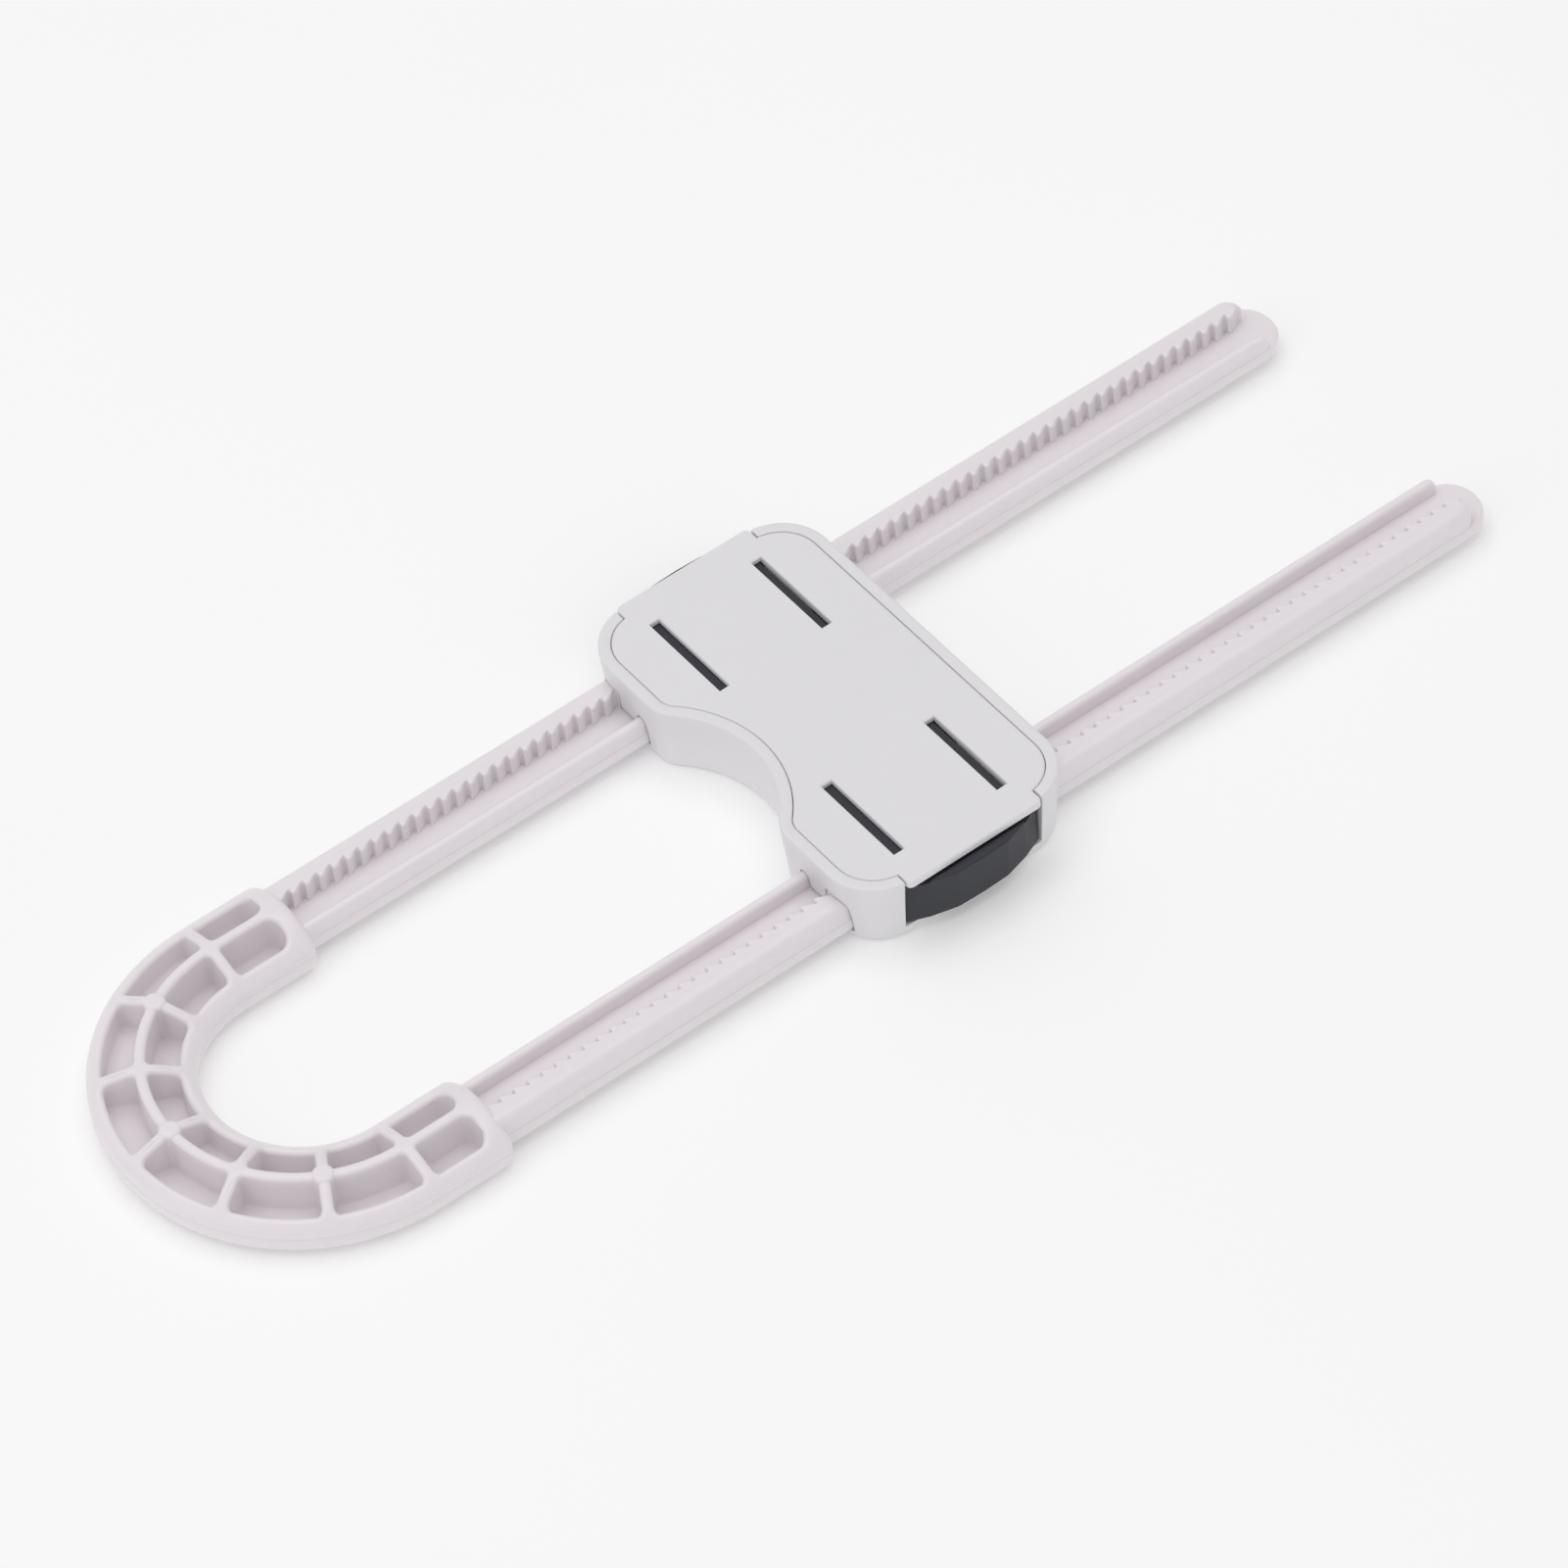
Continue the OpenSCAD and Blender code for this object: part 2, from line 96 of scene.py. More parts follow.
# %% Helpers for outlines
def begin(name, outline):
    """Adds a circle with one corner for each point of the outline, and opens it for editing."""
    bpy.ops.object.select_all(action="DESELECT")
    bpy.ops.mesh.primitive_circle_add(vertices=len(outline), fill_type="NGON")
    piece = bpy.context.object
    piece.name = piece.data.name = name
    for corner, point in zip(piece.data.vertices, outline):
        corner.co = Vector(point) * MM
    bpy.ops.object.mode_set(mode="EDIT")
    bpy.ops.mesh.select_mode(type="FACE")
    bpy.ops.mesh.select_all(action="SELECT")
    return piece


def carry_on(before, after):
    """Extrudes the selected end face from one outline onto the next."""
    tree = KDTree(len(before))
    for i, point in enumerate(before):
        tree.insert(Vector(point) * MM, i)
    tree.balance()
    bpy.ops.mesh.extrude_region_move()
    mesh = bmesh.from_edit_mesh(bpy.context.object.data)
    for corner in mesh.verts:
        if corner.select:
            corner.co = Vector(after[tree.find(corner.co)[1]]) * MM
    bmesh.update_edit_mesh(bpy.context.object.data)


def close_up():
    """Turns all faces outwards and leaves edit mode."""
    bpy.ops.mesh.select_all(action="SELECT")
    bpy.ops.mesh.normals_make_consistent(inside=False)
    bpy.ops.object.mode_set(mode="OBJECT")
    return bpy.context.object


def loft(name, outlines):
    """A closed piece through a row of outlines that all have the same number of points."""
    begin(name, outlines[0])
    for before, after in zip(outlines, outlines[1:]):
        carry_on(before, after)
    return close_up()


# %% Helpers for picking and rounding
# Places are compared to within a hair, in millimetres.
hair = 0.01


def pick_tops(least_rise=0.9):
    """Selects the faces of the open piece that look up."""
    bpy.ops.mesh.select_mode(type="FACE")
    bpy.ops.mesh.select_all(action="DESELECT")
    mesh = bmesh.from_edit_mesh(bpy.context.object.data)
    for face in mesh.faces:
        face.select_set(face.normal.z > least_rise)
    mesh.select_flush_mode()
    bmesh.update_edit_mesh(bpy.context.object.data)


def pick_edges(wanted, least_turn=30):
    """Selects the edges whose faces turn by more than least_turn degrees and that the test wants."""
    bpy.ops.mesh.select_mode(type="EDGE")
    bpy.ops.mesh.select_all(action="DESELECT")
    mesh = bmesh.from_edit_mesh(bpy.context.object.data)
    picked = 0
    for edge in mesh.edges:
        sharp = len(edge.link_faces) == 2 and edge.calc_face_angle(0) > math.radians(least_turn)
        if sharp and wanted(edge.verts[0].co / MM, edge.verts[1].co / MM):
            edge.select_set(True)
            picked += 1
    mesh.select_flush_mode()
    bmesh.update_edit_mesh(bpy.context.object.data)
    return picked


def round_edges(radius, segments=3):
    """Bevels the selected edges."""
    bpy.ops.mesh.bevel(offset=radius * MM, segments=segments, profile=0.5, clamp_overlap=True)


def only(piece):
    """Makes a piece the active one and the only selected one."""
    bpy.ops.object.select_all(action="DESELECT")
    piece.select_set(True)
    bpy.context.view_layer.objects.active = piece


def open_up(piece):
    """Opens a piece for editing."""
    only(piece)
    bpy.ops.object.mode_set(mode="EDIT")


def weld_together(name, pieces):
    """Joins pieces into one object."""
    only(pieces[0])
    for piece in pieces[1:]:
        piece.select_set(True)
    bpy.ops.object.join()
    pieces[0].name = pieces[0].data.name = name
    return pieces[0]


def combine(piece, operation, other):
    """Applies a Boolean modifier to a piece, and removes the other one."""
    boolean = piece.modifiers.new("boolean", "BOOLEAN")
    boolean.operation = operation
    boolean.solver = "MANIFOLD"
    boolean.object = other
    only(piece)
    bpy.ops.object.modifier_apply(modifier=boolean.name)
    bpy.data.objects.remove(other)


def fuse(name, pieces):
    """Makes pieces of one moulding into a single skin."""
    body = pieces[0]
    for piece in pieces[1:]:
        combine(body, "UNION", piece)
    body.name = body.data.name = name
    return body


def cut_away(piece, cutters):
    """Cuts the cutters out of a piece."""
    combine(piece, "DIFFERENCE", weld_together("cutter", cutters) if len(cutters) > 1 else cutters[0])


def across(piece, name):
    """A copy of a piece on the other side of the lock, mirrored in Y."""
    only(piece)
    bpy.ops.object.duplicate()
    copy = bpy.context.object
    copy.name = copy.data.name = name
    copy.data.transform(Matrix.Scale(-1, 4, (0, 1, 0)))
    bpy.ops.object.mode_set(mode="EDIT")
    return close_up()


def loose_edges(piece):
    """How many edges of a piece aren't shared by two faces."""
    mesh = bmesh.new()
    mesh.from_mesh(piece.data)
    count = sum(1 for edge in mesh.edges if len(edge.link_faces) != 2)
    mesh.free()
    return count


def soften(piece, angle=35):
    """Smooth shading that breaks at sharp edges."""
    only(piece)
    bpy.ops.object.shade_smooth_by_angle(angle=math.radians(angle))
    even = piece.modifiers.new("even", "WEIGHTED_NORMAL")
    even.keep_sharp = True
    bpy.ops.object.modifier_apply(modifier=even.name)
    print(piece.name, len(piece.data.polygons), "faces,", loose_edges(piece), "edges not shared by two faces")


def arc(centre, radius, start, stop, steps):
    """Points of an arc in a plane, angles in degrees."""
    turns = [math.radians(start + (stop - start) * i / steps) for i in range(steps + 1)]
    return [(centre[0] + radius * math.cos(t), centre[1] + radius * math.sin(t)) for t in turns]


# %% [markdown]
# ## The bend
# The ribbed handle end is one bar bent into a U. Its section has a domed top, a soft shoulder, a fine
# parting line where the two halves of the mould met, and a rounded foot. By hand you would draw the section
# once and spin it. Here it is carried along the U, because its two ends also draw in to round corners.

# %% Section of the bend
dome_r = 9.8
boss_proud = 0.25
dome_c = bend_h - boss_proud - dome_r
dome_steps = 10
shoulder_r = 1.0
foot_r = 2.8
parting_z = 3.85
parting_depth = 0.08
parting_half = 0.14


def bend_section():
    """Points (distance outwards, height) once round the section."""
    shoulder_v = bend_w / 2 - shoulder_r
    shoulder_rise = math.sqrt((dome_r - shoulder_r) ** 2 - shoulder_v**2)
    lean = math.degrees(math.atan2(shoulder_rise, shoulder_v))
    crown = [math.radians(90 + (lean - 90) * (i + 0.5) / dome_steps) for i in range(dome_steps)]
    half = [(dome_r * math.cos(t), dome_c + dome_r * math.sin(t)) for t in crown]
    half += arc((shoulder_v, dome_c + shoulder_rise), shoulder_r, lean, 0, 4)
    side = bend_w / 2
    half += [(side, parting_z + parting_half)]
    half += [(side - parting_depth, parting_z)]
    half += [(side, parting_z - parting_half)]
    half += arc((side - foot_r, foot_r), foot_r, 0, -90, 6)
    return half + [(-v, z) for v, z in reversed(half)]


# %% The bend's stops
end_r = 1.6
end_top_r = 1.3
end_round = 0.3
turn_steps = 60


def bend_stops():
    """(turn, offset along the bar, share of the width) for each section, from the left end to the right."""
    rounding = [math.radians(15 * i) for i in range(6, -1, -1)]
    start = [(90, bend_run - end_r + end_r * math.sin(a), 1 - 2 * end_r * (1 - math.cos(a)) / bend_w)
             for a in rounding]
    finish = [(270, -offset, share) for _, offset, share in reversed(start)]
    return start + [(90 + 180 * i / turn_steps, 0, 1) for i in range(turn_steps + 1)] + finish


def end_drop(offset):
    """How far the top falls where it rounds over into an end of the bar."""
    into = min(end_top_r, max(0, end_top_r - bend_run + abs(offset)))
    return end_top_r - math.sqrt(end_top_r**2 - into**2)


def bend_outline(turn, offset, share):
    """The section set across the U at a turn, and moved along the bar by an offset."""
    out = Vector((math.cos(math.radians(turn)), math.sin(math.radians(turn)), 0))
    along = Vector((out.y, -out.x, 0))
    centre = Vector((bend_x, 0, 0)) + along * offset
    fall = end_drop(offset) / (bend_h - foot_r)
    return [centre + out * (leg_y + v * share) + Vector((0, 0, z - fall * max(0, z - foot_r)))
            for v, z in bend_section()]


bend = loft("bend", [bend_outline(*stop) for stop in bend_stops()])
open_up(bend)
pick_edges(lambda a, b: min(a.x, b.x) > bend_end_x - hair)
round_edges(end_round, 3)
bend = close_up()
print("bend bar:", len(bend.data.polygons), "faces")

# %% [markdown]
# ### Pockets
# Between the ribs the bar is hollowed to save plastic. Pushing faces down would leave hard corners, so each
# pocket is cut with a piece shaped like the air in it: its outline has round corners, its floor edge is
# rounded, and at the top it flares out like a trumpet until it lies flat on the dome. The flare is the path
# of a ball that rolls along the rim, so ribs and rims come out soft wherever they cross.

# %% Outlines of the pockets
rib_bays = 6
rib_half = 0.8
middle_rib_half = 0.75
pocket_rows = ((middle_rib_half, 5.1), (-4.9, -middle_rib_half))
pocket_corner_r = 0.7
pocket_end_r = 1.6
end_wall = 2.8


def unit(turn):
    """The direction at an angle in degrees."""
    return Vector((math.cos(math.radians(turn)), math.sin(math.radians(turn))))


def corner_round(centre, radius, start, stop):
    """(point, direction out of the pocket) pairs round a corner, with the centre as seen from the bend's."""
    turns = [start + (stop - start) * i / 5 for i in range(6)]
    return [(centre + unit(t) * radius, unit(t)) for t in turns]


def bay_outline(bay, low, high):
    """The outline of a pocket in a curved bay, between two distances from the middle line."""
    r = pocket_corner_r
    first, last = (90 + 180 * k / rib_bays for k in (bay, bay + 1))
    outer, inner = leg_y + high - r, leg_y + low + r
    outer_in = math.degrees(math.asin((rib_half + r) / outer))
    inner_in = math.degrees(math.asin((rib_half + r) / inner))
    outer_ends, inner_ends = (first + outer_in, last - outer_in), (last - inner_in, first + inner_in)
    points = corner_round(unit(outer_ends[0]) * outer, r, first - 90, outer_ends[0])
    sweep = [outer_ends[0] + (outer_ends[1] - outer_ends[0]) * i / 8 for i in range(1, 8)]
    points += [(unit(t) * (outer + r), unit(t)) for t in sweep]
    points += corner_round(unit(outer_ends[1]) * outer, r, outer_ends[1], last + 90)
    points += corner_round(unit(inner_ends[0]) * inner, r, last + 90, inner_ends[0] + 180)
    sweep = [inner_ends[0] + (inner_ends[1] - inner_ends[0]) * i / 8 for i in range(1, 8)]
    points += [(unit(t) * (inner - r), -unit(t)) for t in sweep]
    return points + corner_round(unit(inner_ends[1]) * inner, r, inner_ends[1] + 180, first + 270)


def end_outline(low, high):
    """The outline of the pocket at the left end of the bar, with two larger corners at the end wall."""
    r, end = pocket_corner_r, pocket_end_r
    stop, near, far = bend_run - end_wall, leg_y + low, leg_y + high
    points = corner_round(Vector((stop - end, far - end)), end, 0, 90)
    points += corner_round(Vector((rib_half + r, far - r)), r, 90, 180)
    points += corner_round(Vector((rib_half + r, near + r)), r, 180, 270)
    return points + corner_round(Vector((stop - end, near + end)), end, 270, 360)


# %% Pockets of the bend
pocket_floor_z = 2.0
pocket_floor_r = 0.5
rim_r = 0.65
rim_steps = 6


def across_bar(point):
    """The distance of a point from the middle line of the bar, and the direction across the bar there."""
    if point.x > 0:
        return abs(point.y) - leg_y, Vector((0, math.copysign(1, point.y)))
    return point.length - leg_y, point.normalized()


def pocket_levels(outline):
    """The rings of the air in a pocket: floor edge, wall, and the flare onto the dome."""
    rings = []
    for i in range(4):
        turn = math.radians(30 * i)
        inset = pocket_floor_r * (1 - math.sin(turn))
        z = pocket_floor_z + pocket_floor_r * (1 - math.cos(turn))
        rings.append([(bend_x + (p - n * inset).x, (p - n * inset).y, z) for p, n in outline])
    flares = []
    for p, n in outline:
        centre = p + n * rim_r
        v, out = across_bar(centre)
        rise = math.sqrt((dome_r - rim_r) ** 2 - v**2)
        wall = Vector((-n.x, -n.y, 0))
        dome = Vector((out.x * v, out.y * v, rise)).normalized()
        ball = Vector((bend_x + centre.x, centre.y, dome_c + rise))
        flare = [ball + wall.slerp(dome, i / rim_steps) * rim_r for i in range(rim_steps + 1)]
        flares.append(flare + [flare[-1] + dome])
    return rings + [list(ring) for ring in zip(*flares)]


pocket_air = []
for low, high in pocket_rows:
    outlines = [bay_outline(bay, low, high) for bay in range(rib_bays)]
    left_end = end_outline(low, high)
    right_end = [(Vector((p.x, -p.y)), Vector((n.x, -n.y))) for p, n in left_end]
    pocket_air += [loft("air", pocket_levels(outline)) for outline in outlines + [left_end, right_end]]
print("pockets:", len(pocket_air))
cut_away(bend, pocket_air)

# %% [markdown]
# ### Bosses
# Every second rib crosses the middle rib in a small round boss, where the mould's ejector pins push. Each
# one stands a little proud of the ribs. A cylinder with a bevelled top edge is enough, because most of its
# side is lost in the ribs when the pieces are fused.

# %% Bosses
boss_d = 3.0
boss_round = 0.6
boss_foot_z = 1.5
bosses = []
for i in range(1, rib_bays, 2):
    turn = math.radians(90 + 180 * i / rib_bays)
    depth = bend_h - boss_foot_z
    middle_z = boss_foot_z + depth / 2
    place = Vector((bend_x + leg_y * math.cos(turn), leg_y * math.sin(turn), middle_z)) * MM
    bpy.ops.object.select_all(action="DESELECT")
    bpy.ops.mesh.primitive_cylinder_add(vertices=32, radius=boss_d / 2 * MM, depth=depth * MM, location=place)
    bpy.ops.object.transform_apply(location=True, rotation=True, scale=True)
    bpy.ops.object.mode_set(mode="EDIT")
    pick_edges(lambda a, b: min(a.z, b.z) > bend_h - hair)
    round_edges(boss_round, 4)
    bosses.append(close_up())
bend = fuse("bend", [bend] + bosses)
print("bosses:", len(bosses))

# %% [markdown]
# ## The legs
# Each leg is a flat plate with a round tip and two rails on top. The outer rail carries the teeth, the
# inner one is a plain rounded guide. A bevel would be the same all round, and the real tip is softer than
# the sides, so the plate is an outline carried upwards that draws in at the bottom and top levels, most of
# all at the tip.

# %% Plate of a leg
leg_start_x = bend_end_x - end_wall
leg_in_y = leg_y - leg_w / 2
leg_out_y = leg_y + leg_w / 2
plate_round = 0.32
tip_round = 0.85
plate_foot_r = 0.5
tie = 0.2


def soft_levels(low, high, low_r, high_r, steps=4):
    """(inset, height) pairs that round the lower and the upper edge of an upright piece."""
    turns = [math.radians(90 * i / steps) for i in range(steps + 1)]
    lower = [(low_r * (1 - math.sin(t)), low + low_r * (1 - math.cos(t))) for t in turns]
    upper = [(high_r * (1 - math.cos(t)), high - high_r * (1 - math.sin(t))) for t in turns]
    return lower + upper


def plate_levels():
    """The plate's rings: straight sides and a half-round tip, whose upper edge is rounder than the sides'."""
    columns = []
    for turn in range(-90, 91, 6):
        upper_r = plate_round + (tip_round - plate_round) * math.cos(math.radians(turn))
        levels = soft_levels(leg_lift, leg_floor_z, plate_foot_r, upper_r)
        out = unit(turn)
        half = leg_w / 2
        columns.append([(tip_x - half + (half - inset) * out.x, leg_y + (half - inset) * out.y, z)
                        for inset, z in levels])
    starts = [[(leg_start_x, y, z) for x, y, z in column] for column in (columns[0], columns[-1])]
    return [list(ring) for ring in zip(starts[0], *columns, starts[1])]


plate = loft("plate", plate_levels())
print("leg plate:", len(plate.data.polygons), "faces")

# %% [markdown]
# ### The toothed rail
# The teeth are steep towards the bend and sloped towards the tip, so the block slides on by hand and only
# comes back when the buttons are pressed. An Array modifier could repeat one tooth. Here the whole row is
# one outline, worked out tooth by tooth and carried upwards, because the edges of the teeth and the outer
# edge of the rail are rounded by different amounts, level by level.

# %% Toothed rail
tooth_pitch = 2.2
tooth_depth = 1.0
tooth_land = 0.6
rail_step = 0.15
rack_rail_w = 3.6
rack_rail_top = 7.1
rack_rail_r = 1.3
rack_rail_stop = 3.4
rack_end_r = 2.0
tooth_round = 0.3
root_in = 0.1
root_fill = 0.3
root_y = leg_out_y - rail_step - rack_rail_w + tooth_depth
crest_y = root_y - tooth_depth
rack_lead = 0.4
rack_x = bend_end_x - rack_lead
rack_end_x = tip_x - rack_rail_stop
rack_teeth = int((rack_end_x - rack_x) / tooth_pitch)


def edge_inset(z, radius):
    """How far a rounded top edge draws the rail in at a height."""
    climb = max(0, z - rack_rail_top + radius)
    return radius - math.sqrt(max(0, radius**2 - climb**2))


def tooth_points(x, inset):
    """The two corners of the filled root and of the crest of a tooth, with its faces drawn in by inset."""
    run = tooth_pitch - tooth_land
    slope = math.hypot(run, tooth_depth)
    steep_x = x + inset
    slope_in = inset * (run / slope + tooth_depth / run + tooth_depth**2 / (slope * run))
    crest_in = crest_y + inset
    past_crest = inset * (1 - run / slope) / tooth_depth
    land_end = x + tooth_land - inset * tooth_depth / slope + run * past_crest
    root = root_y + min(slope_in, root_in)
    points = [(steep_x - root_fill, root - root_fill * tooth_depth / run), (steep_x, root - root_fill)]
    return points + [(steep_x, crest_in), (land_end, crest_in)]


def rack_outline(z):
    """The rail seen from above at a height."""
    out_in = edge_inset(z, rack_rail_r)
    tooth_in = edge_inset(z, tooth_round)
    out_y = leg_out_y - rail_step - out_in
    end_x = rack_end_x - out_in
    points = [(leg_start_x, out_y), (leg_start_x, root_y)]
    for k in range(rack_teeth):
        points += tooth_points(rack_x + k * tooth_pitch, tooth_in)
    points += [(rack_x + rack_teeth * tooth_pitch, root_y + tooth_in), (end_x, root_y + tooth_in)]
    corner_r = min(rack_end_r, out_y - root_y - tooth_in - tie)
    points += arc((end_x - corner_r, out_y - corner_r), corner_r, 0, 90, 8)
    return [(x, y, z) for x, y in points]


edge_turns = [math.radians(15 * i) for i in range(7)]
edge_heights = set()
for r in (rack_rail_r, tooth_round):
    edge_heights.update(round(rack_rail_top - r * (1 - math.sin(t)), 3) for t in edge_turns)
rack_heights = [leg_floor_z - tie] + sorted(edge_heights)
rack = loft("rack", [rack_outline(z) for z in rack_heights])
print("toothed rail:", rack_teeth, "teeth,", len(rack.data.polygons), "faces")

# %% [markdown]
# ### The guide rail
# The plain rail keeps the leg straight in the block. Bevels on both edges would meet in the middle of so
# thin a rail, so its section is drawn with a full-round crown and carried along the leg. Near the tip it is
# lowered and drawn in, and the rail ends in a soft nose.

# %% Guide rail
guide_rail_w = 1.5
guide_rail_top = 6.3
guide_rail_stop = 3.8
guide_end_r = 1.5


def guide_outline(x, share, fall):
    """The rail's section at x, with a full-round crown, drawn in to a share of its width and lowered."""
    r = guide_rail_w / 2
    middle = leg_in_y + rail_step + r
    crown_z = guide_rail_top - r - fall
    foot = leg_floor_z - tie
    crown = [(x, middle + y * share, crown_z + z * share) for y, z in arc((0, 0), r, 180, 0, 12)]
    return [(x, middle - r * share, foot)] + crown + [(x, middle + r * share, foot)]


guide_end_x = tip_x - guide_rail_stop
guide_stops = [(leg_start_x, 1, 0)]
for turn in (0, 12, 24, 36, 48, 60, 72, 80, 87):
    sine, cosine = math.sin(math.radians(turn)), math.cos(math.radians(turn))
    before_end = guide_end_r * (1 - sine)
    into = max(0, 1 - 2 * before_end / guide_rail_w)
    guide_stops.append((guide_end_x - before_end, math.sqrt(1 - into**2), guide_end_r * (1 - cosine)))
guide = loft("guide", [guide_outline(*stop) for stop in guide_stops])
print("guide rail:", len(guide.data.polygons), "faces")

# %% [markdown]
# ### One moulding
# The real bow has no seam between the bend and the legs, so its pieces are fused into one skin by Boolean
# modifiers. The left leg is modelled, and the right one is its mirror image.

# %% The whole bow
left_leg = fuse("left_leg", [plate, rack, guide])
right_leg = across(left_leg, "right_leg")
bow = fuse("bow_moulding", [bend, left_leg, right_leg])
soften(bow)

# %% [markdown]
# ## The case of the block
# The case is a shallow cup with a finger recess on the side of the bend. Its outline is made of arcs,
# carried up the outside with a slight lean, over the rounded rim and down the inside to the floor. A
# Solidify modifier would copy the outside's lean and rounding to the inside, which here has its own. The
# openings are then cut by a Boolean modifier: the ways for the legs with a piece that follows a leg's
# section at a small distance, and the windows for the buttons with boxes.

# %% Outline of the block
block_r = 7.8
recess_depth = 5.9
recess_r = 16.5
recess_blend_r = 5.0
recess_x = -block_half_x + recess_depth - recess_r
blend_x = -block_half_x + recess_blend_r
blend_y = math.sqrt((recess_r + recess_blend_r) ** 2 - (blend_x - recess_x) ** 2)
recess_turn = math.degrees(math.atan2(blend_y, blend_x - recess_x))


def mirrored_round(half):
    """A half outline that ends on the X axis, and its mirror image, as one loop."""
    return half + [(x, -y) for x, y in reversed(half[:-1])]


def recess_half(inset):
    """The blend and the recess on the +Y side, drawn in by inset."""
    points = arc((blend_x, blend_y), recess_blend_r - inset, 180, 180 + recess_turn, 10)
    return points + arc((recess_x, 0), recess_r + inset, recess_turn, 0, 20)[1:]


def block_outline(inset, z):
    """The block seen from above, drawn in all round by inset."""
    half = arc((block_half_x - block_r, block_half_y - block_r), block_r - inset, 0, 90, 16)
    half += arc((-block_half_x + block_r, block_half_y - block_r), block_r - inset, 90, 180, 16)
    half += recess_half(inset)
    return [(block_x + x, y, z) for x, y in mirrored_round(half)]


# %% Case shell
case_draft = 0.6
outside_draft = 0.9
case_foot_r = 1.0
case_rim_r = 0.45
rim_inner_r = 0.2
case_floor = 1.55
cavity_foot_r = 0.4


def leaned(levels, draft):
    """Adds the lean of the side walls to (inset, height) pairs."""
    return [(inset + draft * (1 - z / block_h), z) for inset, z in levels]


outside = leaned(soft_levels(0, block_h, case_foot_r, case_rim_r, 5), outside_draft)
inside = [(case_wall - rim_inner_r, block_h), (case_wall - rim_inner_r / 3, block_h - rim_inner_r / 3)]
inside += [(case_wall, block_h - rim_inner_r), (case_wall, cover_z)]
inside += leaned([(case_wall, cover_z - cavity_foot_r), (case_wall, case_floor + cavity_foot_r),
                  (case_wall + cavity_foot_r, case_floor)], case_draft)
case = loft("block_shell", [block_outline(*level) for level in outside + inside])
print("case shell:", len(case.data.polygons), "faces")


# %% Boxes that cut and boxes that add
# What stands in every quarter of the block is mirrored by a pair of signs, for its end and its side.
quarters = [(end, side) for side in (-1, 1) for end in (-1, 1)]


def box_piece(name, low, high, radius=0.0):
    """A box between two corners in mm, its edges rounded where a radius is given."""
    low, high = Vector(low), Vector(high)
    bpy.ops.object.select_all(action="DESELECT")
    bpy.ops.mesh.primitive_cube_add(size=1, location=(low + high) / 2 * MM)
    piece = bpy.context.object
    piece.name = piece.data.name = name
    piece.scale = (high - low) * MM
    bpy.ops.object.transform_apply(location=True, rotation=True, scale=True)
    if radius:
        bpy.ops.object.mode_set(mode="EDIT")
        pick_edges(lambda a, b: True)
        round_edges(radius, 2)
        close_up()
    return piece


def block_box(name, low, high, end=1, side=1, radius=0.0):
    """A box with its corners in mm from the block's middle, mirrored to an end and a side."""
    corners = [(block_x + end * x, side * y, z) for x, y, z in (low, high)]
    least = [min(pair) for pair in zip(*corners)]
    most = [max(pair) for pair in zip(*corners)]
    return box_piece(name, least, most, radius)


# %% Openings of the case
run_gap = 0.25
lip_h = 2.0
tab_w = 21.9
tab_notch = 0.25
window_half_x = tab_w / 2 + tab_notch
window_round = 0.25
leg_top = rack_rail_top + run_gap
past = 5.0


def leg_way(x, side):
    """The opening for a leg, seen along it: it follows the plate and the two rails at a small distance."""
    inner, step, outer = leg_in_y - run_gap, crest_y - run_gap, leg_out_y + run_gap
    low, plate_top, trough_top = case_floor + hair, leg_floor_z + run_gap, leg_floor_z + 2 * run_gap
    crown_r = guide_rail_w / 2
    rack_centre = (leg_out_y - rail_step - rack_rail_r, rack_rail_top - rack_rail_r)
    guide_centre = (leg_in_y + rail_step + crown_r, guide_rail_top - crown_r)
    points = [(inner, low), (outer, low), (outer, plate_top)]
    points += arc(rack_centre, rack_rail_r + run_gap, 0, 90, 6) + [(step, leg_top), (step, trough_top)]
    points += [(guide_centre[0] + crown_r + run_gap, trough_top)]
    points += arc(guide_centre, crown_r + run_gap, 0, 180, 12) + [(inner, plate_top)]
    return [(x, side * y, z) for y, z in points]


cutters = []
for side in (-1, 1):
    cutters.append(loft("leg_way", [leg_way(block_x + end * (block_half_x + past), side) for end in (-1, 1)]))
    cutters.append(block_box("window", (-window_half_x, block_half_y - 2 * case_wall, lip_h),
                             (window_half_x, block_half_y + past, block_h + past), side=side))
cut_away(case, cutters)


def on_window_end(a, b):
    """True for an edge round an end face of a button's window, above the lip."""
    def near(p):
        return abs(abs(p.x - block_x) - window_half_x) < hair and abs(p.y) > leg_out_y + run_gap + hair
    return near(a) and near(b) and max(a.z, b.z) > lip_h + hair


open_up(case)
print("window edges rounded:", pick_edges(on_window_end))
round_edges(window_round, 3)
case = close_up()
print("case with openings:", len(case.data.polygons), "faces")

# %% [markdown]
# ### Inside the case
# Low walls guide the legs, a rib in the middle carries both springs, and four sockets take the pins of the
# back cover. They show only through the leg openings when the block is off the legs, so boxes and cylinders
# with bevelled edges are enough. They are fused with the shell into one moulding.

# %% Guide walls, spring rib and sockets
guide_t = 1.2
inside_round = 0.15
spring_rib = (11.0, 2.4)
socket_r = 1.9
pin_r = 1.0
pin_l = 4.0
pin_gap = 0.05
socket_depth = pin_l + 1.0
socket_x = block_half_x - case_wall - socket_r - guide_t / 2
socket_y = leg_in_y - run_gap - guide_t - socket_r
spring_z = (case_floor + cover_z) / 2
spring_d = 5.0
wire_d = 0.5
spigot_r = spring_d / 2 - 2 * wire_d
spigot_l = 1.6


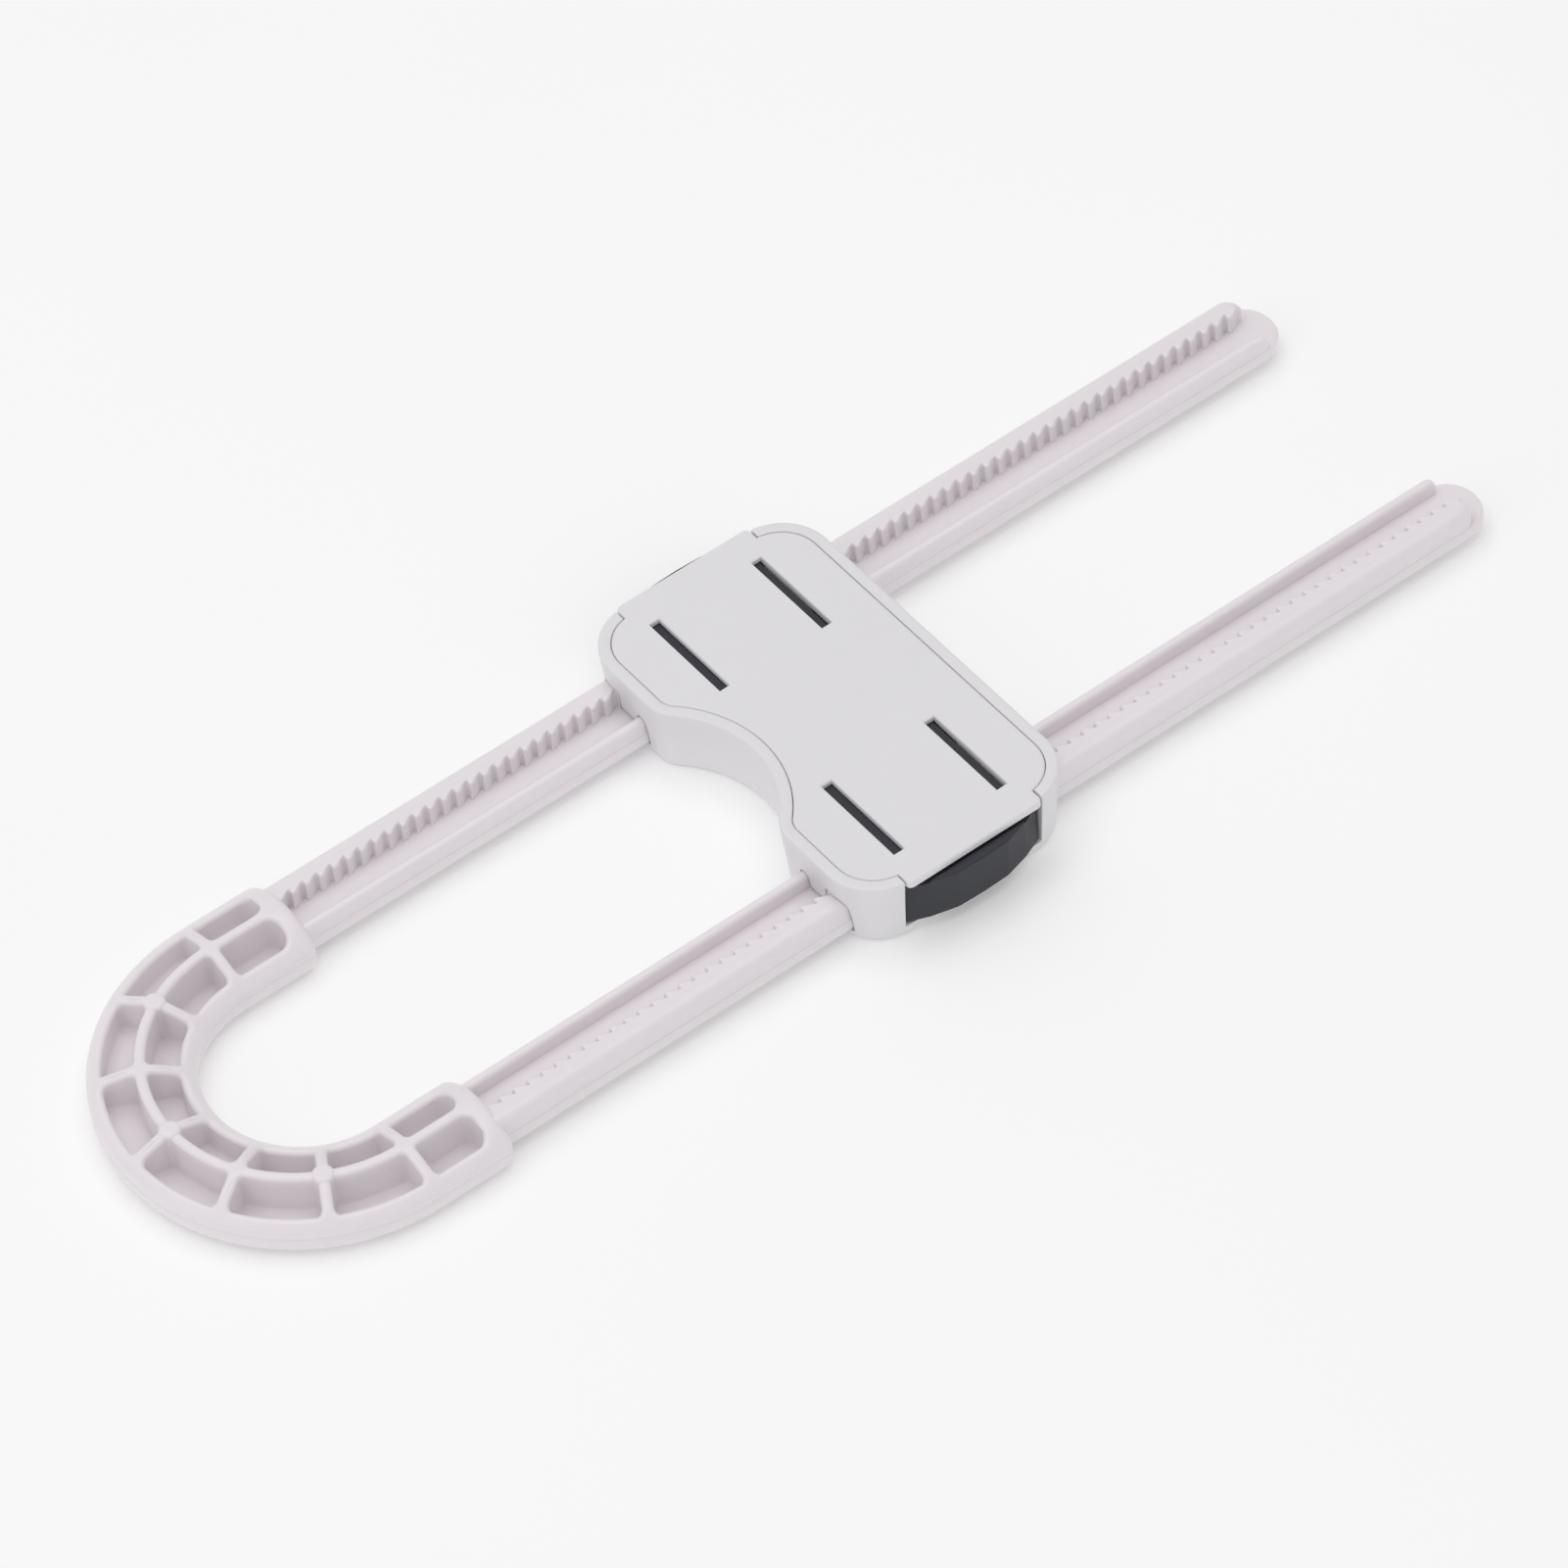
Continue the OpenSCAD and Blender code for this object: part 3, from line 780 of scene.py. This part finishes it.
def post(name, radius, low, high, axis="Z", inner=0.0):
    """A round post, or a socket where an inner radius is given, between two ends in mm."""
    low, high = Vector(low), Vector(high)
    turn = (math.pi / 2, 0, 0) if axis == "Y" else (0, 0, 0)
    bpy.ops.object.select_all(action="DESELECT")
    bpy.ops.mesh.primitive_cylinder_add(vertices=32, radius=radius * MM, depth=(high - low).length * MM,
                                        location=(low + high) / 2 * MM, rotation=turn)
    piece = bpy.context.object
    piece.name = piece.data.name = name
    bpy.ops.object.transform_apply(location=True, rotation=True, scale=True)
    bpy.ops.object.mode_set(mode="EDIT")
    if inner:
        pick_tops()
        bpy.ops.mesh.inset(thickness=(radius - inner) * MM)
        bpy.ops.mesh.extrude_region_move(TRANSFORM_OT_translate={"value": (0, 0, -socket_depth * MM)})
    pick_edges(lambda a, b: True)
    round_edges(inside_round, 2)
    return close_up()


foot_z = case_floor - tie
inside_pieces = [block_box("spring_rib", (-spring_rib[0] / 2, -spring_rib[1] / 2, foot_z),
                           (spring_rib[0] / 2, spring_rib[1] / 2, cover_z), radius=inside_round)]
inner_low = (case_wall - block_half_x, leg_in_y - run_gap - guide_t, foot_z)
inner_high = (block_half_x - case_wall, leg_in_y - run_gap, rack_rail_top)
outer_low = (window_half_x, leg_out_y + run_gap, foot_z)
outer_high = (block_half_x - 2 * case_wall, leg_out_y + run_gap + guide_t, rack_rail_top)
for side in (-1, 1):
    inside_pieces.append(block_box("leg_guide", inner_low, inner_high, side=side, radius=inside_round))
    for end in (-1, 1):
        inside_pieces.append(block_box("outer_guide", outer_low, outer_high, end, side, inside_round))
    spigot_ends = ((block_x, 0, spring_z), (block_x, side * (spring_rib[1] / 2 + spigot_l), spring_z))
    inside_pieces.append(post("spigot", spigot_r, *spigot_ends, axis="Y"))
    for end in (-1, 1):
        x, y = block_x + end * socket_x, side * socket_y
        inside_pieces.append(post("socket", socket_r, (x, y, foot_z), (x, y, cover_z), inner=pin_r + pin_gap))
case = fuse("case_moulding", [case] + inside_pieces)
soften(case)

# %% [markdown]
# ## The back cover
# The cover lies in the rim of the case, and a tab on each side reaches out over a button. It could be cut
# out of a copy of the case, but the tabs change its shape, so it has an outline of its own, carried up
# through soft levels. Four slots are cut through it, and their upper edges are rounded. Under each slot the
# cover is thinner to make room for a pad of the button, and ribs and pins hang below it.

# %% Plate of the back cover
seam = 0.08
tab_reach = 0.35
tab_corner_r = 0.8
cover_edge_r = 0.3
cover_foot_r = 0.1
cover_inset = case_wall + seam
tab_out_y = block_half_y + tab_reach


def cover_outline(inset, z):
    """The cover seen from above, with its tabs, drawn in all round by inset."""
    corner = (block_half_x - block_r, block_half_y - block_r)
    corner_r = block_r - cover_inset - inset
    tab_corner = (tab_w / 2 - tab_corner_r, tab_out_y - tab_corner_r)
    meet = math.degrees(math.acos((tab_w / 2 - inset - corner[0]) / corner_r))
    half = arc(corner, corner_r, 0, meet, 14)
    half += arc(tab_corner, tab_corner_r - inset, 0, 90, 4)
    half += arc((-tab_corner[0], tab_corner[1]), tab_corner_r - inset, 90, 180, 4)
    half += arc((-corner[0], corner[1]), corner_r, 180 - meet, 180, 14)
    half += recess_half(cover_inset + inset)
    return [(block_x + x, y, z) for x, y in mirrored_round(half)]


cover_levels = soft_levels(cover_z, block_h, cover_foot_r, cover_edge_r)
cover = loft("cover_plate", [cover_outline(*level) for level in cover_levels])
print("cover plate:", len(cover.data.polygons), "faces")

# %% Slots of the back cover
slot_l = 15.2
slot_w = 1.6
slot_spacing = 16.9
slot_shift = 2.85
slot_y = leg_y - slot_shift
slot_round = 0.3
slot_x = (slot_spacing / 2 - slot_w / 2, slot_spacing / 2 + slot_w / 2)
slot_ends_y = (slot_y - slot_l / 2, slot_y + slot_l / 2)
slot_reach = Vector((slot_w / 2, slot_l / 2, past))
slot_middles = [Vector((block_x + end * slot_spacing / 2, side * slot_y, block_h)) for end, side in quarters]
cut_away(cover, [box_piece("slot", middle - slot_reach, middle + slot_reach) for middle in slot_middles])


def on_slot_rim(a, b):
    """True for an edge of a slot on the upper side of the cover."""
    def near(p):
        across_slot = abs(abs(p.x - block_x) - slot_spacing / 2) < slot_w / 2 + hair
        return across_slot and abs(abs(p.y) - slot_y) < slot_l / 2 + hair and p.z > block_h - hair
    return near(a) and near(b)


open_up(cover)
print("slot edges rounded:", pick_edges(on_slot_rim))
round_edges(slot_round, 3)
cover = close_up()

# %% Rooms under the slots
web_t = 0.8
button_travel = 1.5
pad_x = (slot_x[0] - run_gap, slot_x[1] - run_gap)
pad_y = (slot_ends_y[0] - run_gap, slot_ends_y[1] + run_gap)
room_low = (pad_x[0] - run_gap, pad_y[0] - button_travel - run_gap, cover_z - past)
room_high = (slot_x[1], pad_y[1] + run_gap, block_h - web_t)
cut_away(cover, [block_box("pad_room", room_low, room_high, *quarter) for quarter in quarters])
print("cover with slots and rooms:", len(cover.data.polygons), "faces")

# %% Ribs and pins under the cover
cover_rib_t = 1.2
cover_rib_round = 0.12
ear_t = 1.4
slide_z = leg_top
ear_out_y = block_half_y - case_draft * (1 - slide_z / block_h) - case_wall - 2 * run_gap
rib_low = (slot_x[1], socket_y + socket_r + run_gap, slide_z + run_gap)
rib_high = (slot_x[1] + cover_rib_t, ear_out_y - ear_t - button_travel - run_gap, cover_z + tie)
under_pieces = []
for end, side in quarters:
    under_pieces.append(block_box("cover_rib", rib_low, rib_high, end, side, cover_rib_round))
    pin_foot = Vector((block_x + end * socket_x, side * socket_y, cover_z - pin_l))
    under_pieces.append(post("pin", pin_r, pin_foot, pin_foot + Vector((0, 0, pin_l + tie))))
cover = fuse("cover_moulding", [cover] + under_pieces)
soften(cover)

# %% [markdown]
# ## The buttons
# A button is one dark moulding. Its grip has six flat facets that meet in a shallow point, so a finger
# finds its middle. A cut-down cylinder would give even facets, and these get narrower and steeper towards
# the ends, so the grip is an outline carried upwards, with a groove under the edge of the cover's tab,
# where the photograph shows a dark line. Behind the grip a plate lies over the leg and carries the pawl,
# two ears that stop the button inside the case, the seat of the spring, and two pads that stand close below
# the slots of the cover. The left button is modelled, and the right one is its mirror image.

# %% Grip of a button
button_proud = 1.85
button_bulge = 2.9
slide_plate_t = 2.3
grip_lean = 0.45
grip_foot_r = 0.25
grip_top_r = 0.4
groove_w = 1.2
groove_depth = 0.5
groove_shown = 0.15
slide_top_z = slide_z + slide_plate_t
grip_half_x = window_half_x - run_gap
grip_low_z = lip_h + run_gap
grip_end_y = block_half_y + button_proud - button_bulge
grip_back_y = leg_out_y + button_travel + run_gap
facet_x_shares = (1, 0.715, 0.37, 0)
facet_y_shares = (0, 0.54, 0.95, 1)
facet_turn = 6
facet_round = 0.22


def grip_outline(inset, z):
    """The faceted grip seen from above, drawn in by inset, with a face that leans in to its foot."""
    lean = grip_lean * (slide_top_z - z) / (slide_top_z - grip_low_z)
    half = [((grip_half_x - inset) * x, grip_end_y - inset + (button_bulge - lean) * y)
            for x, y in zip(facet_x_shares, facet_y_shares)]
    half = [(grip_half_x - inset, grip_back_y)] + half
    outline = half + [(-x, y) for x, y in reversed(half[:-1])]
    return [(block_x + x, y, z) for x, y in outline]


grip_levels = soft_levels(grip_low_z, slide_top_z, grip_foot_r, grip_top_r)
grip = loft("grip", [grip_outline(*level) for level in grip_levels])
open_up(grip)
softened = pick_edges(lambda a, b: abs(a.z - b.z) > hair and a.y > grip_back_y + hair, facet_turn)
print("facet edges softened:", softened)
round_edges(facet_round, 3)
grip = close_up()
groove_half = grip_half_x + past
groove_low = (-groove_half, tab_out_y - groove_w, slide_top_z - groove_depth)
groove_high = (groove_half, tab_out_y + groove_shown, slide_top_z + past)
cut_away(grip, [block_box("groove", groove_low, groove_high)])

# %% Pawl of a button
pawl_teeth = 4
pawl_back_t = 2.0
mesh_gap = run_gap * 4 / 5
pawl_face_y = crest_y - mesh_gap
pawl_tip_y = root_y - mesh_gap - tooth_depth / (tooth_pitch - tooth_land) * mesh_gap


def pawl_outline(z):
    """The pawl seen from above: teeth that fill the valleys of the rack, less the clearance."""
    half_l = pawl_teeth * tooth_pitch / 2
    steep_x = tooth_pitch - mesh_gap
    points = [(-half_l, pawl_face_y)]
    for k in range(pawl_teeth):
        x = k * tooth_pitch - half_l
        points += [(x + tooth_land, pawl_face_y), (x + steep_x, pawl_tip_y), (x + steep_x, pawl_face_y)]
    points += [(half_l - mesh_gap, pawl_face_y - pawl_back_t), (-half_l, pawl_face_y - pawl_back_t)]
    return [(block_x + x, y, z) for x, y in points]


pawl = loft("pawl", [pawl_outline(leg_floor_z + run_gap), pawl_outline(slide_z + tie)])
print("pawl:", pawl_teeth, "teeth")

# %% Plate and ears
slide_round = 0.3
slide_in_y = pad_y[0]
slide_low = (-pad_x[1], slide_in_y, slide_z)
slide_high = (pad_x[1], grip_back_y + tie, slide_top_z)
slide_plate = block_box("slide_plate", slide_low, slide_high, radius=slide_round)
ear_w = 0.8
ear_drop = 0.1
ear_round = 0.2
ear_half_x = grip_half_x + ear_w
ears = block_box("ears", (-ear_half_x, ear_out_y - ear_t, slide_z + ear_drop),
                 (ear_half_x, ear_out_y, slide_top_z - ear_drop), radius=ear_round)
print("slide plate:", round(2 * pad_x[1], 2), "mm wide")

# %% Spring seat and pads
# The seat and the pads stand back from the plate's edge by a few hairs, so that no two faces coincide.
seat_w = 8.0
seat_t = 1.5
seat_z = spring_z - spring_d / 2
seat = block_box("seat", (-seat_w / 2, slide_in_y + 2 * hair, seat_z),
                 (seat_w / 2, slide_in_y + seat_t, slide_z + 2 * tie), radius=inside_round)
seat_middle = Vector((block_x, slide_in_y, spring_z))
peg_ends = (seat_middle + Vector((0, tie, 0)), seat_middle - Vector((0, spigot_l, 0)))
peg = post("peg", spigot_r, *peg_ends, axis="Y")
pad_round = 0.12
pad_low = (pad_x[0], pad_y[0] + 5 * hair, slide_top_z - 2 * tie)
pad_high = (pad_x[1], pad_y[1], block_h - web_t - run_gap / 2)
pads = [block_box("pad", pad_low, pad_high, end, radius=pad_round) for end in (-1, 1)]
print("pads:", len(pads))

# %% Both buttons
left_button = fuse("left_button_moulding", [grip, slide_plate, ears, pawl, seat, peg] + pads)
right_button = across(left_button, "right_button_moulding")
soften(left_button)
soften(right_button)

# %% [markdown]
# ## The springs
# A coil spring behind each button pushes it out, so its pawl stays in the teeth. By hand you would put a
# Screw modifier on a small circle. Here a ring of points is carried along a helix, because the wire also
# has a short straight end on each seat. The second spring is the first one turned half round.

# %% Springs
spring_turns = 6
turn_rings = 24
wire_sides = 12
spring_in_y = spring_rib[1] / 2
spring_out_y = slide_in_y
coil_r = (spring_d - wire_d) / 2


def wire_path():
    """Points along the middle of the wire, about the Y axis."""
    count = spring_turns * turn_rings
    low, high = spring_in_y + wire_d, spring_out_y - wire_d
    turns = [math.radians(360 * i / turn_rings) for i in range(count + 1)]
    helix = [Vector((coil_r * math.cos(t), low + (high - low) * i / count, coil_r * math.sin(t)))
             for i, t in enumerate(turns)]
    return [Vector((coil_r, spring_in_y, 0))] + helix + [Vector((coil_r, spring_out_y, 0))]


def wire_rings(path):
    """A ring of points round the wire at each point of its path."""
    rings = []
    for i, point in enumerate(path):
        along = (path[min(i + 1, len(path) - 1)] - path[max(i - 1, 0)]).normalized()
        out = Vector((point.x, 0, point.z)).normalized()
        side = along.cross(out)
        turns = [2 * math.pi * k / wire_sides for k in range(wire_sides)]
        middle = point + Vector((block_x, 0, spring_z))
        rings.append([middle + (out * math.cos(t) + side * math.sin(t)) * wire_d / 2 for t in turns])
    return rings


left_spring = loft("left_coil", wire_rings(wire_path()))
bpy.ops.object.duplicate()
right_spring = bpy.context.object
right_spring.name = right_spring.data.name = "right_coil"
to_axis = Matrix.Translation((block_x * MM, 0, 0))
right_spring.data.transform(to_axis @ Matrix.Rotation(math.pi, 4, "Z") @ to_axis.inverted())
soften(left_spring)
soften(right_spring)

# %% [markdown]
# ## Sums on sockets
# A finish is a small net of nodes. To keep it readable, a socket is wrapped in a class that understands +
# and *, so that a sum on sockets adds its own Math nodes, and any other node comes from one method.


# %% Helpers for finishes
class Value:
    """A socket of a finish, with sums written as on a number."""

    def __init__(self, finish, socket):
        self.finish = finish
        self.socket = socket

    def sum(self, operation, first, second):
        return self.finish.node("ShaderNodeMath", {"operation": operation}, {0: first, 1: second})

    def __add__(self, other):
        return self.sum("ADD", self, other)

    def __mul__(self, other):
        return self.sum("MULTIPLY", self, other)

    __radd__ = __add__
    __rmul__ = __mul__


class Finish:
    """A material, and the nodes that are added to it."""

    def __init__(self, name):
        self.material = bpy.data.materials.new(name)
        self.material.use_nodes = True
        self.tree = self.material.node_tree
        self.shader = self.tree.nodes["Principled BSDF"]

    def node(self, kind, settings=None, inputs=None, output=0):
        """Adds a node of a kind, sets it up, fills its sockets, and gives one of its outputs."""
        node = self.tree.nodes.new(kind)
        for name, value in (settings or {}).items():
            setattr(node, name, value)
        self.fill(node, inputs or {})
        return Value(self, node.outputs[output])

    def fill(self, node, inputs):
        """Links or sets the sockets of a node."""
        for key, value in inputs.items():
            if isinstance(value, Value):
                self.tree.links.new(value.socket, node.inputs[key])
            else:
                node.inputs[key].default_value = value

    def place(self):
        """The place on the piece, in its own coordinates."""
        return self.node("ShaderNodeTexCoord", output="Object")

    def cloud(self, scale, detail=2.0, roughness=0.5):
        """A soft noise between 0 and 1, with scale in patches per metre."""
        inputs = {"Vector": self.place(), "Scale": scale, "Detail": detail, "Roughness": roughness}
        return self.node("ShaderNodeTexNoise", {}, inputs)

    def between(self, share, first, second):
        """A colour between two colours."""
        settings = {"data_type": "RGBA"}
        return self.node("ShaderNodeMix", settings, {"Factor": share, 6: first, 7: second}, output=2)

    def bump(self, height, strength, distance):
        """A normal that follows a height."""
        inputs = {"Height": height, "Strength": strength, "Distance": distance}
        return self.node("ShaderNodeBump", {}, inputs, output="Normal")


def linear(red, green, blue):
    """A screen colour of 0 to 255 as the shader's own numbers."""
    shares = [channel / 255 for channel in (red, green, blue)]
    return tuple(s / 12.92 if s < 0.04045 else ((s + 0.055) / 1.055) ** 2.4 for s in shares) + (1,)


# %% [markdown]
# ## Finishes
# The bow is white moulded plastic with a faint warm tint, and the block is a cooler white. A close look at
# such a moulding shows no flat colour: the tint drifts a little, the gloss is uneven where the plastic
# flowed, and the skin has a very fine grain from the mould. Painted textures would need the pieces
# unwrapped, so three noises in the piece's own coordinates do this work. Thin white plastic also lets light
# travel a little way inside, which softens the shade in the pockets and between the teeth. The buttons are
# a dark grey with a stronger grain, and the springs are plain drawn steel.

# %% Moulded plastic
glow_depth = 1.0 * MM
glow_colour = (1.0, 0.9, 0.92)
tint_patches = 55
tint_share = 0.7
flow_patches = 420
gloss_swing = 0.1
grain_height = 0.1 * MM


def moulded_plastic(name, light, dark, roughness, shine, glow, grain_patches, grain_strength):
    """A plastic skin: a drifting tint, uneven gloss, a glow inside thin walls, and a fine grain."""
    finish = Finish(name)
    drift = finish.cloud(tint_patches, 3)
    flow = finish.cloud(flow_patches, 2)
    skin = finish.cloud(grain_patches, 2, 0.6)
    finish.fill(finish.shader, {
        "Base Color": finish.between(tint_share * drift + (1 - tint_share) * flow, dark, light),
        "Roughness": roughness - gloss_swing / 2 + gloss_swing * flow,
        "Normal": finish.bump(skin, grain_strength, grain_height),
        "Specular IOR Level": shine,
        "Subsurface Weight": glow,
        "Subsurface Radius": glow_colour,
        "Subsurface Scale": glow_depth,
    })
    return finish


bow_white = moulded_plastic("bow_white", linear(243, 238, 241), linear(239, 233, 237), roughness=0.32,
                            shine=0.5, glow=0.5, grain_patches=2600, grain_strength=0.01)
block_white = moulded_plastic("block_white", linear(238, 236, 239), linear(233, 231, 234), roughness=0.42,
                              shine=0.5, glow=0.1, grain_patches=3400, grain_strength=0.09)
button_grey = moulded_plastic("button_grey", linear(62, 63, 70), linear(54, 55, 61), roughness=0.5,
                              shine=0.25, glow=0.0, grain_patches=4200, grain_strength=0.16)
print("plastics:", [finish.material.name for finish in (bow_white, block_white, button_grey)])


# %% Drawn steel
def drawn_steel(name):
    """Bright wire with a slightly uneven polish."""
    finish = Finish(name)
    streak = finish.cloud(1800, 3)
    finish.fill(finish.shader, {
        "Base Color": finish.between(streak, linear(150, 152, 156), linear(205, 207, 210)),
        "Roughness": 0.22 + 0.16 * streak,
        "Metallic": 1.0,
    })
    return finish


wire_steel = drawn_steel("wire_steel")
print("steel:", wire_steel.material.name)

# %% [markdown]
# ## Riding on the frame
# Each piece takes its finish, moves with its body and stands for its imported solid. Each spring gets a
# mesh of its own.

# %% Pieces on their bodies
spring_keep = 1 - button_travel / (spring_out_y - spring_in_y)
dressed = [
    (bow, bow_white, "bow", "bow", "white_plastic"),
    (case, block_white, "block", "block_case", "white_plastic"),
    (cover, block_white, "block", "back_cover", "white_plastic"),
    (left_button, button_grey, "left button", "left_button", "grey_plastic"),
    (right_button, button_grey, "right button", "right_button", "grey_plastic"),
    (left_spring, wire_steel, "block", "left_spring", "spring_steel"),
    (right_spring, wire_steel, "block", "right_spring", "spring_steel"),
]
for piece, finish, body, node, slot in dressed:
    piece.data.materials.clear()
    piece.data.materials.append(finish.material)
    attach(piece, body)
    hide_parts(node)
for piece, joint, side in ((left_spring, "left_button_press", 1), (right_spring, "right_button_press", -1)):
    side * spring_in_y * MM
    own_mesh(piece)
print("pieces:", len(dressed))

# %% [markdown]
# ## Studio
# The lock lies on a plain pale floor under soft light: an even sky, one large soft panel overhead and a
# little behind, so that the tops are lighter than the near sides, and a weaker one on the bend's side that
# reaches in between the teeth. The floor glows a little, so that it stays as pale as a studio table.

# %% Floor
floor_gap = 0.02 * MM
floor_size = 6
floor_glow = 0.13
bpy.ops.object.select_all(action="DESELECT")
bpy.ops.mesh.primitive_plane_add(size=floor_size, location=(0, 0, -floor_gap))
floor = bpy.context.object
floor.name = floor.data.name = "studio_floor"
floor_finish = Finish("studio_white")
paper = floor_finish.cloud(8, 2)
floor_finish.fill(floor_finish.shader, {
    "Base Color": floor_finish.between(paper, linear(250, 250, 250), linear(247, 247, 247)),
    "Roughness": 0.9,
    "Emission Color": (1, 1, 1, 1),
    "Emission Strength": floor_glow,
})
floor.data.materials.append(floor_finish.material)
print("floor:", floor_size, "m across")

# %% Light
sky_strength = 0.55
sky = bpy.data.worlds.new("studio_sky")
sky.use_nodes = True
sky.node_tree.nodes["Background"].inputs["Color"].default_value = (1, 1, 1, 1)
sky.node_tree.nodes["Background"].inputs["Strength"].default_value = sky_strength
bpy.context.scene.world = sky


def soft_panel(name, place, size, power):
    """A square light panel that faces the middle of the lock."""
    bpy.ops.object.light_add(type="AREA", location=place)
    panel = bpy.context.object
    panel.name = panel.data.name = name
    panel.data.shape = "SQUARE"
    panel.data.size = size
    panel.data.energy = power
    panel.rotation_euler = (-Vector(place)).to_track_quat("-Z", "Y").to_euler()


soft_panel("overhead_panel", (-0.04, 0.08, 1.15), size=1.2, power=4.8)
soft_panel("bend_side_panel", (-1.1, -0.1, 0.6), size=0.9, power=1.2)
bpy.context.scene.view_settings.view_transform = "Standard"
print("light panels and a sky of strength", sky_strength)

# %% [markdown]
# ## Camera
# The photograph looks down over the bend along the legs, from well back with a long lens. The camera turns
# about a point on the floor near the block, by an azimuth, an elevation and a small roll.

# %% Camera
camera_target = Vector((2.97, 0.77, 0)) * MM
camera_azimuth = math.radians(-33.28)
camera_elevation = math.radians(48.74)
camera_roll = math.radians(-5.68)
camera_distance = 1264.75 * MM
camera_sensor = 36
camera_lens = 221.8
camera_reach = 20
bpy.ops.object.camera_add()
camera = bpy.context.object
camera.name = camera.data.name = "photo_camera"
back = Vector((math.sin(camera_azimuth) * math.cos(camera_elevation),
               -math.cos(camera_azimuth) * math.cos(camera_elevation),
               math.sin(camera_elevation)))
level = Vector((math.cos(camera_azimuth), math.sin(camera_azimuth), 0))
upright = back.cross(level)
right = level * math.cos(camera_roll) + upright * math.sin(camera_roll)
above = upright * math.cos(camera_roll) - level * math.sin(camera_roll)
facing = Matrix((right, above, back)).transposed().to_4x4()
camera.matrix_world = Matrix.Translation(camera_target + back * camera_distance) @ facing
camera.data.sensor_width = camera_sensor
camera.data.lens = camera_lens
camera.data.clip_end = camera_reach
bpy.context.scene.camera = camera
print("camera", round(camera_distance, 2), "m from the lock")
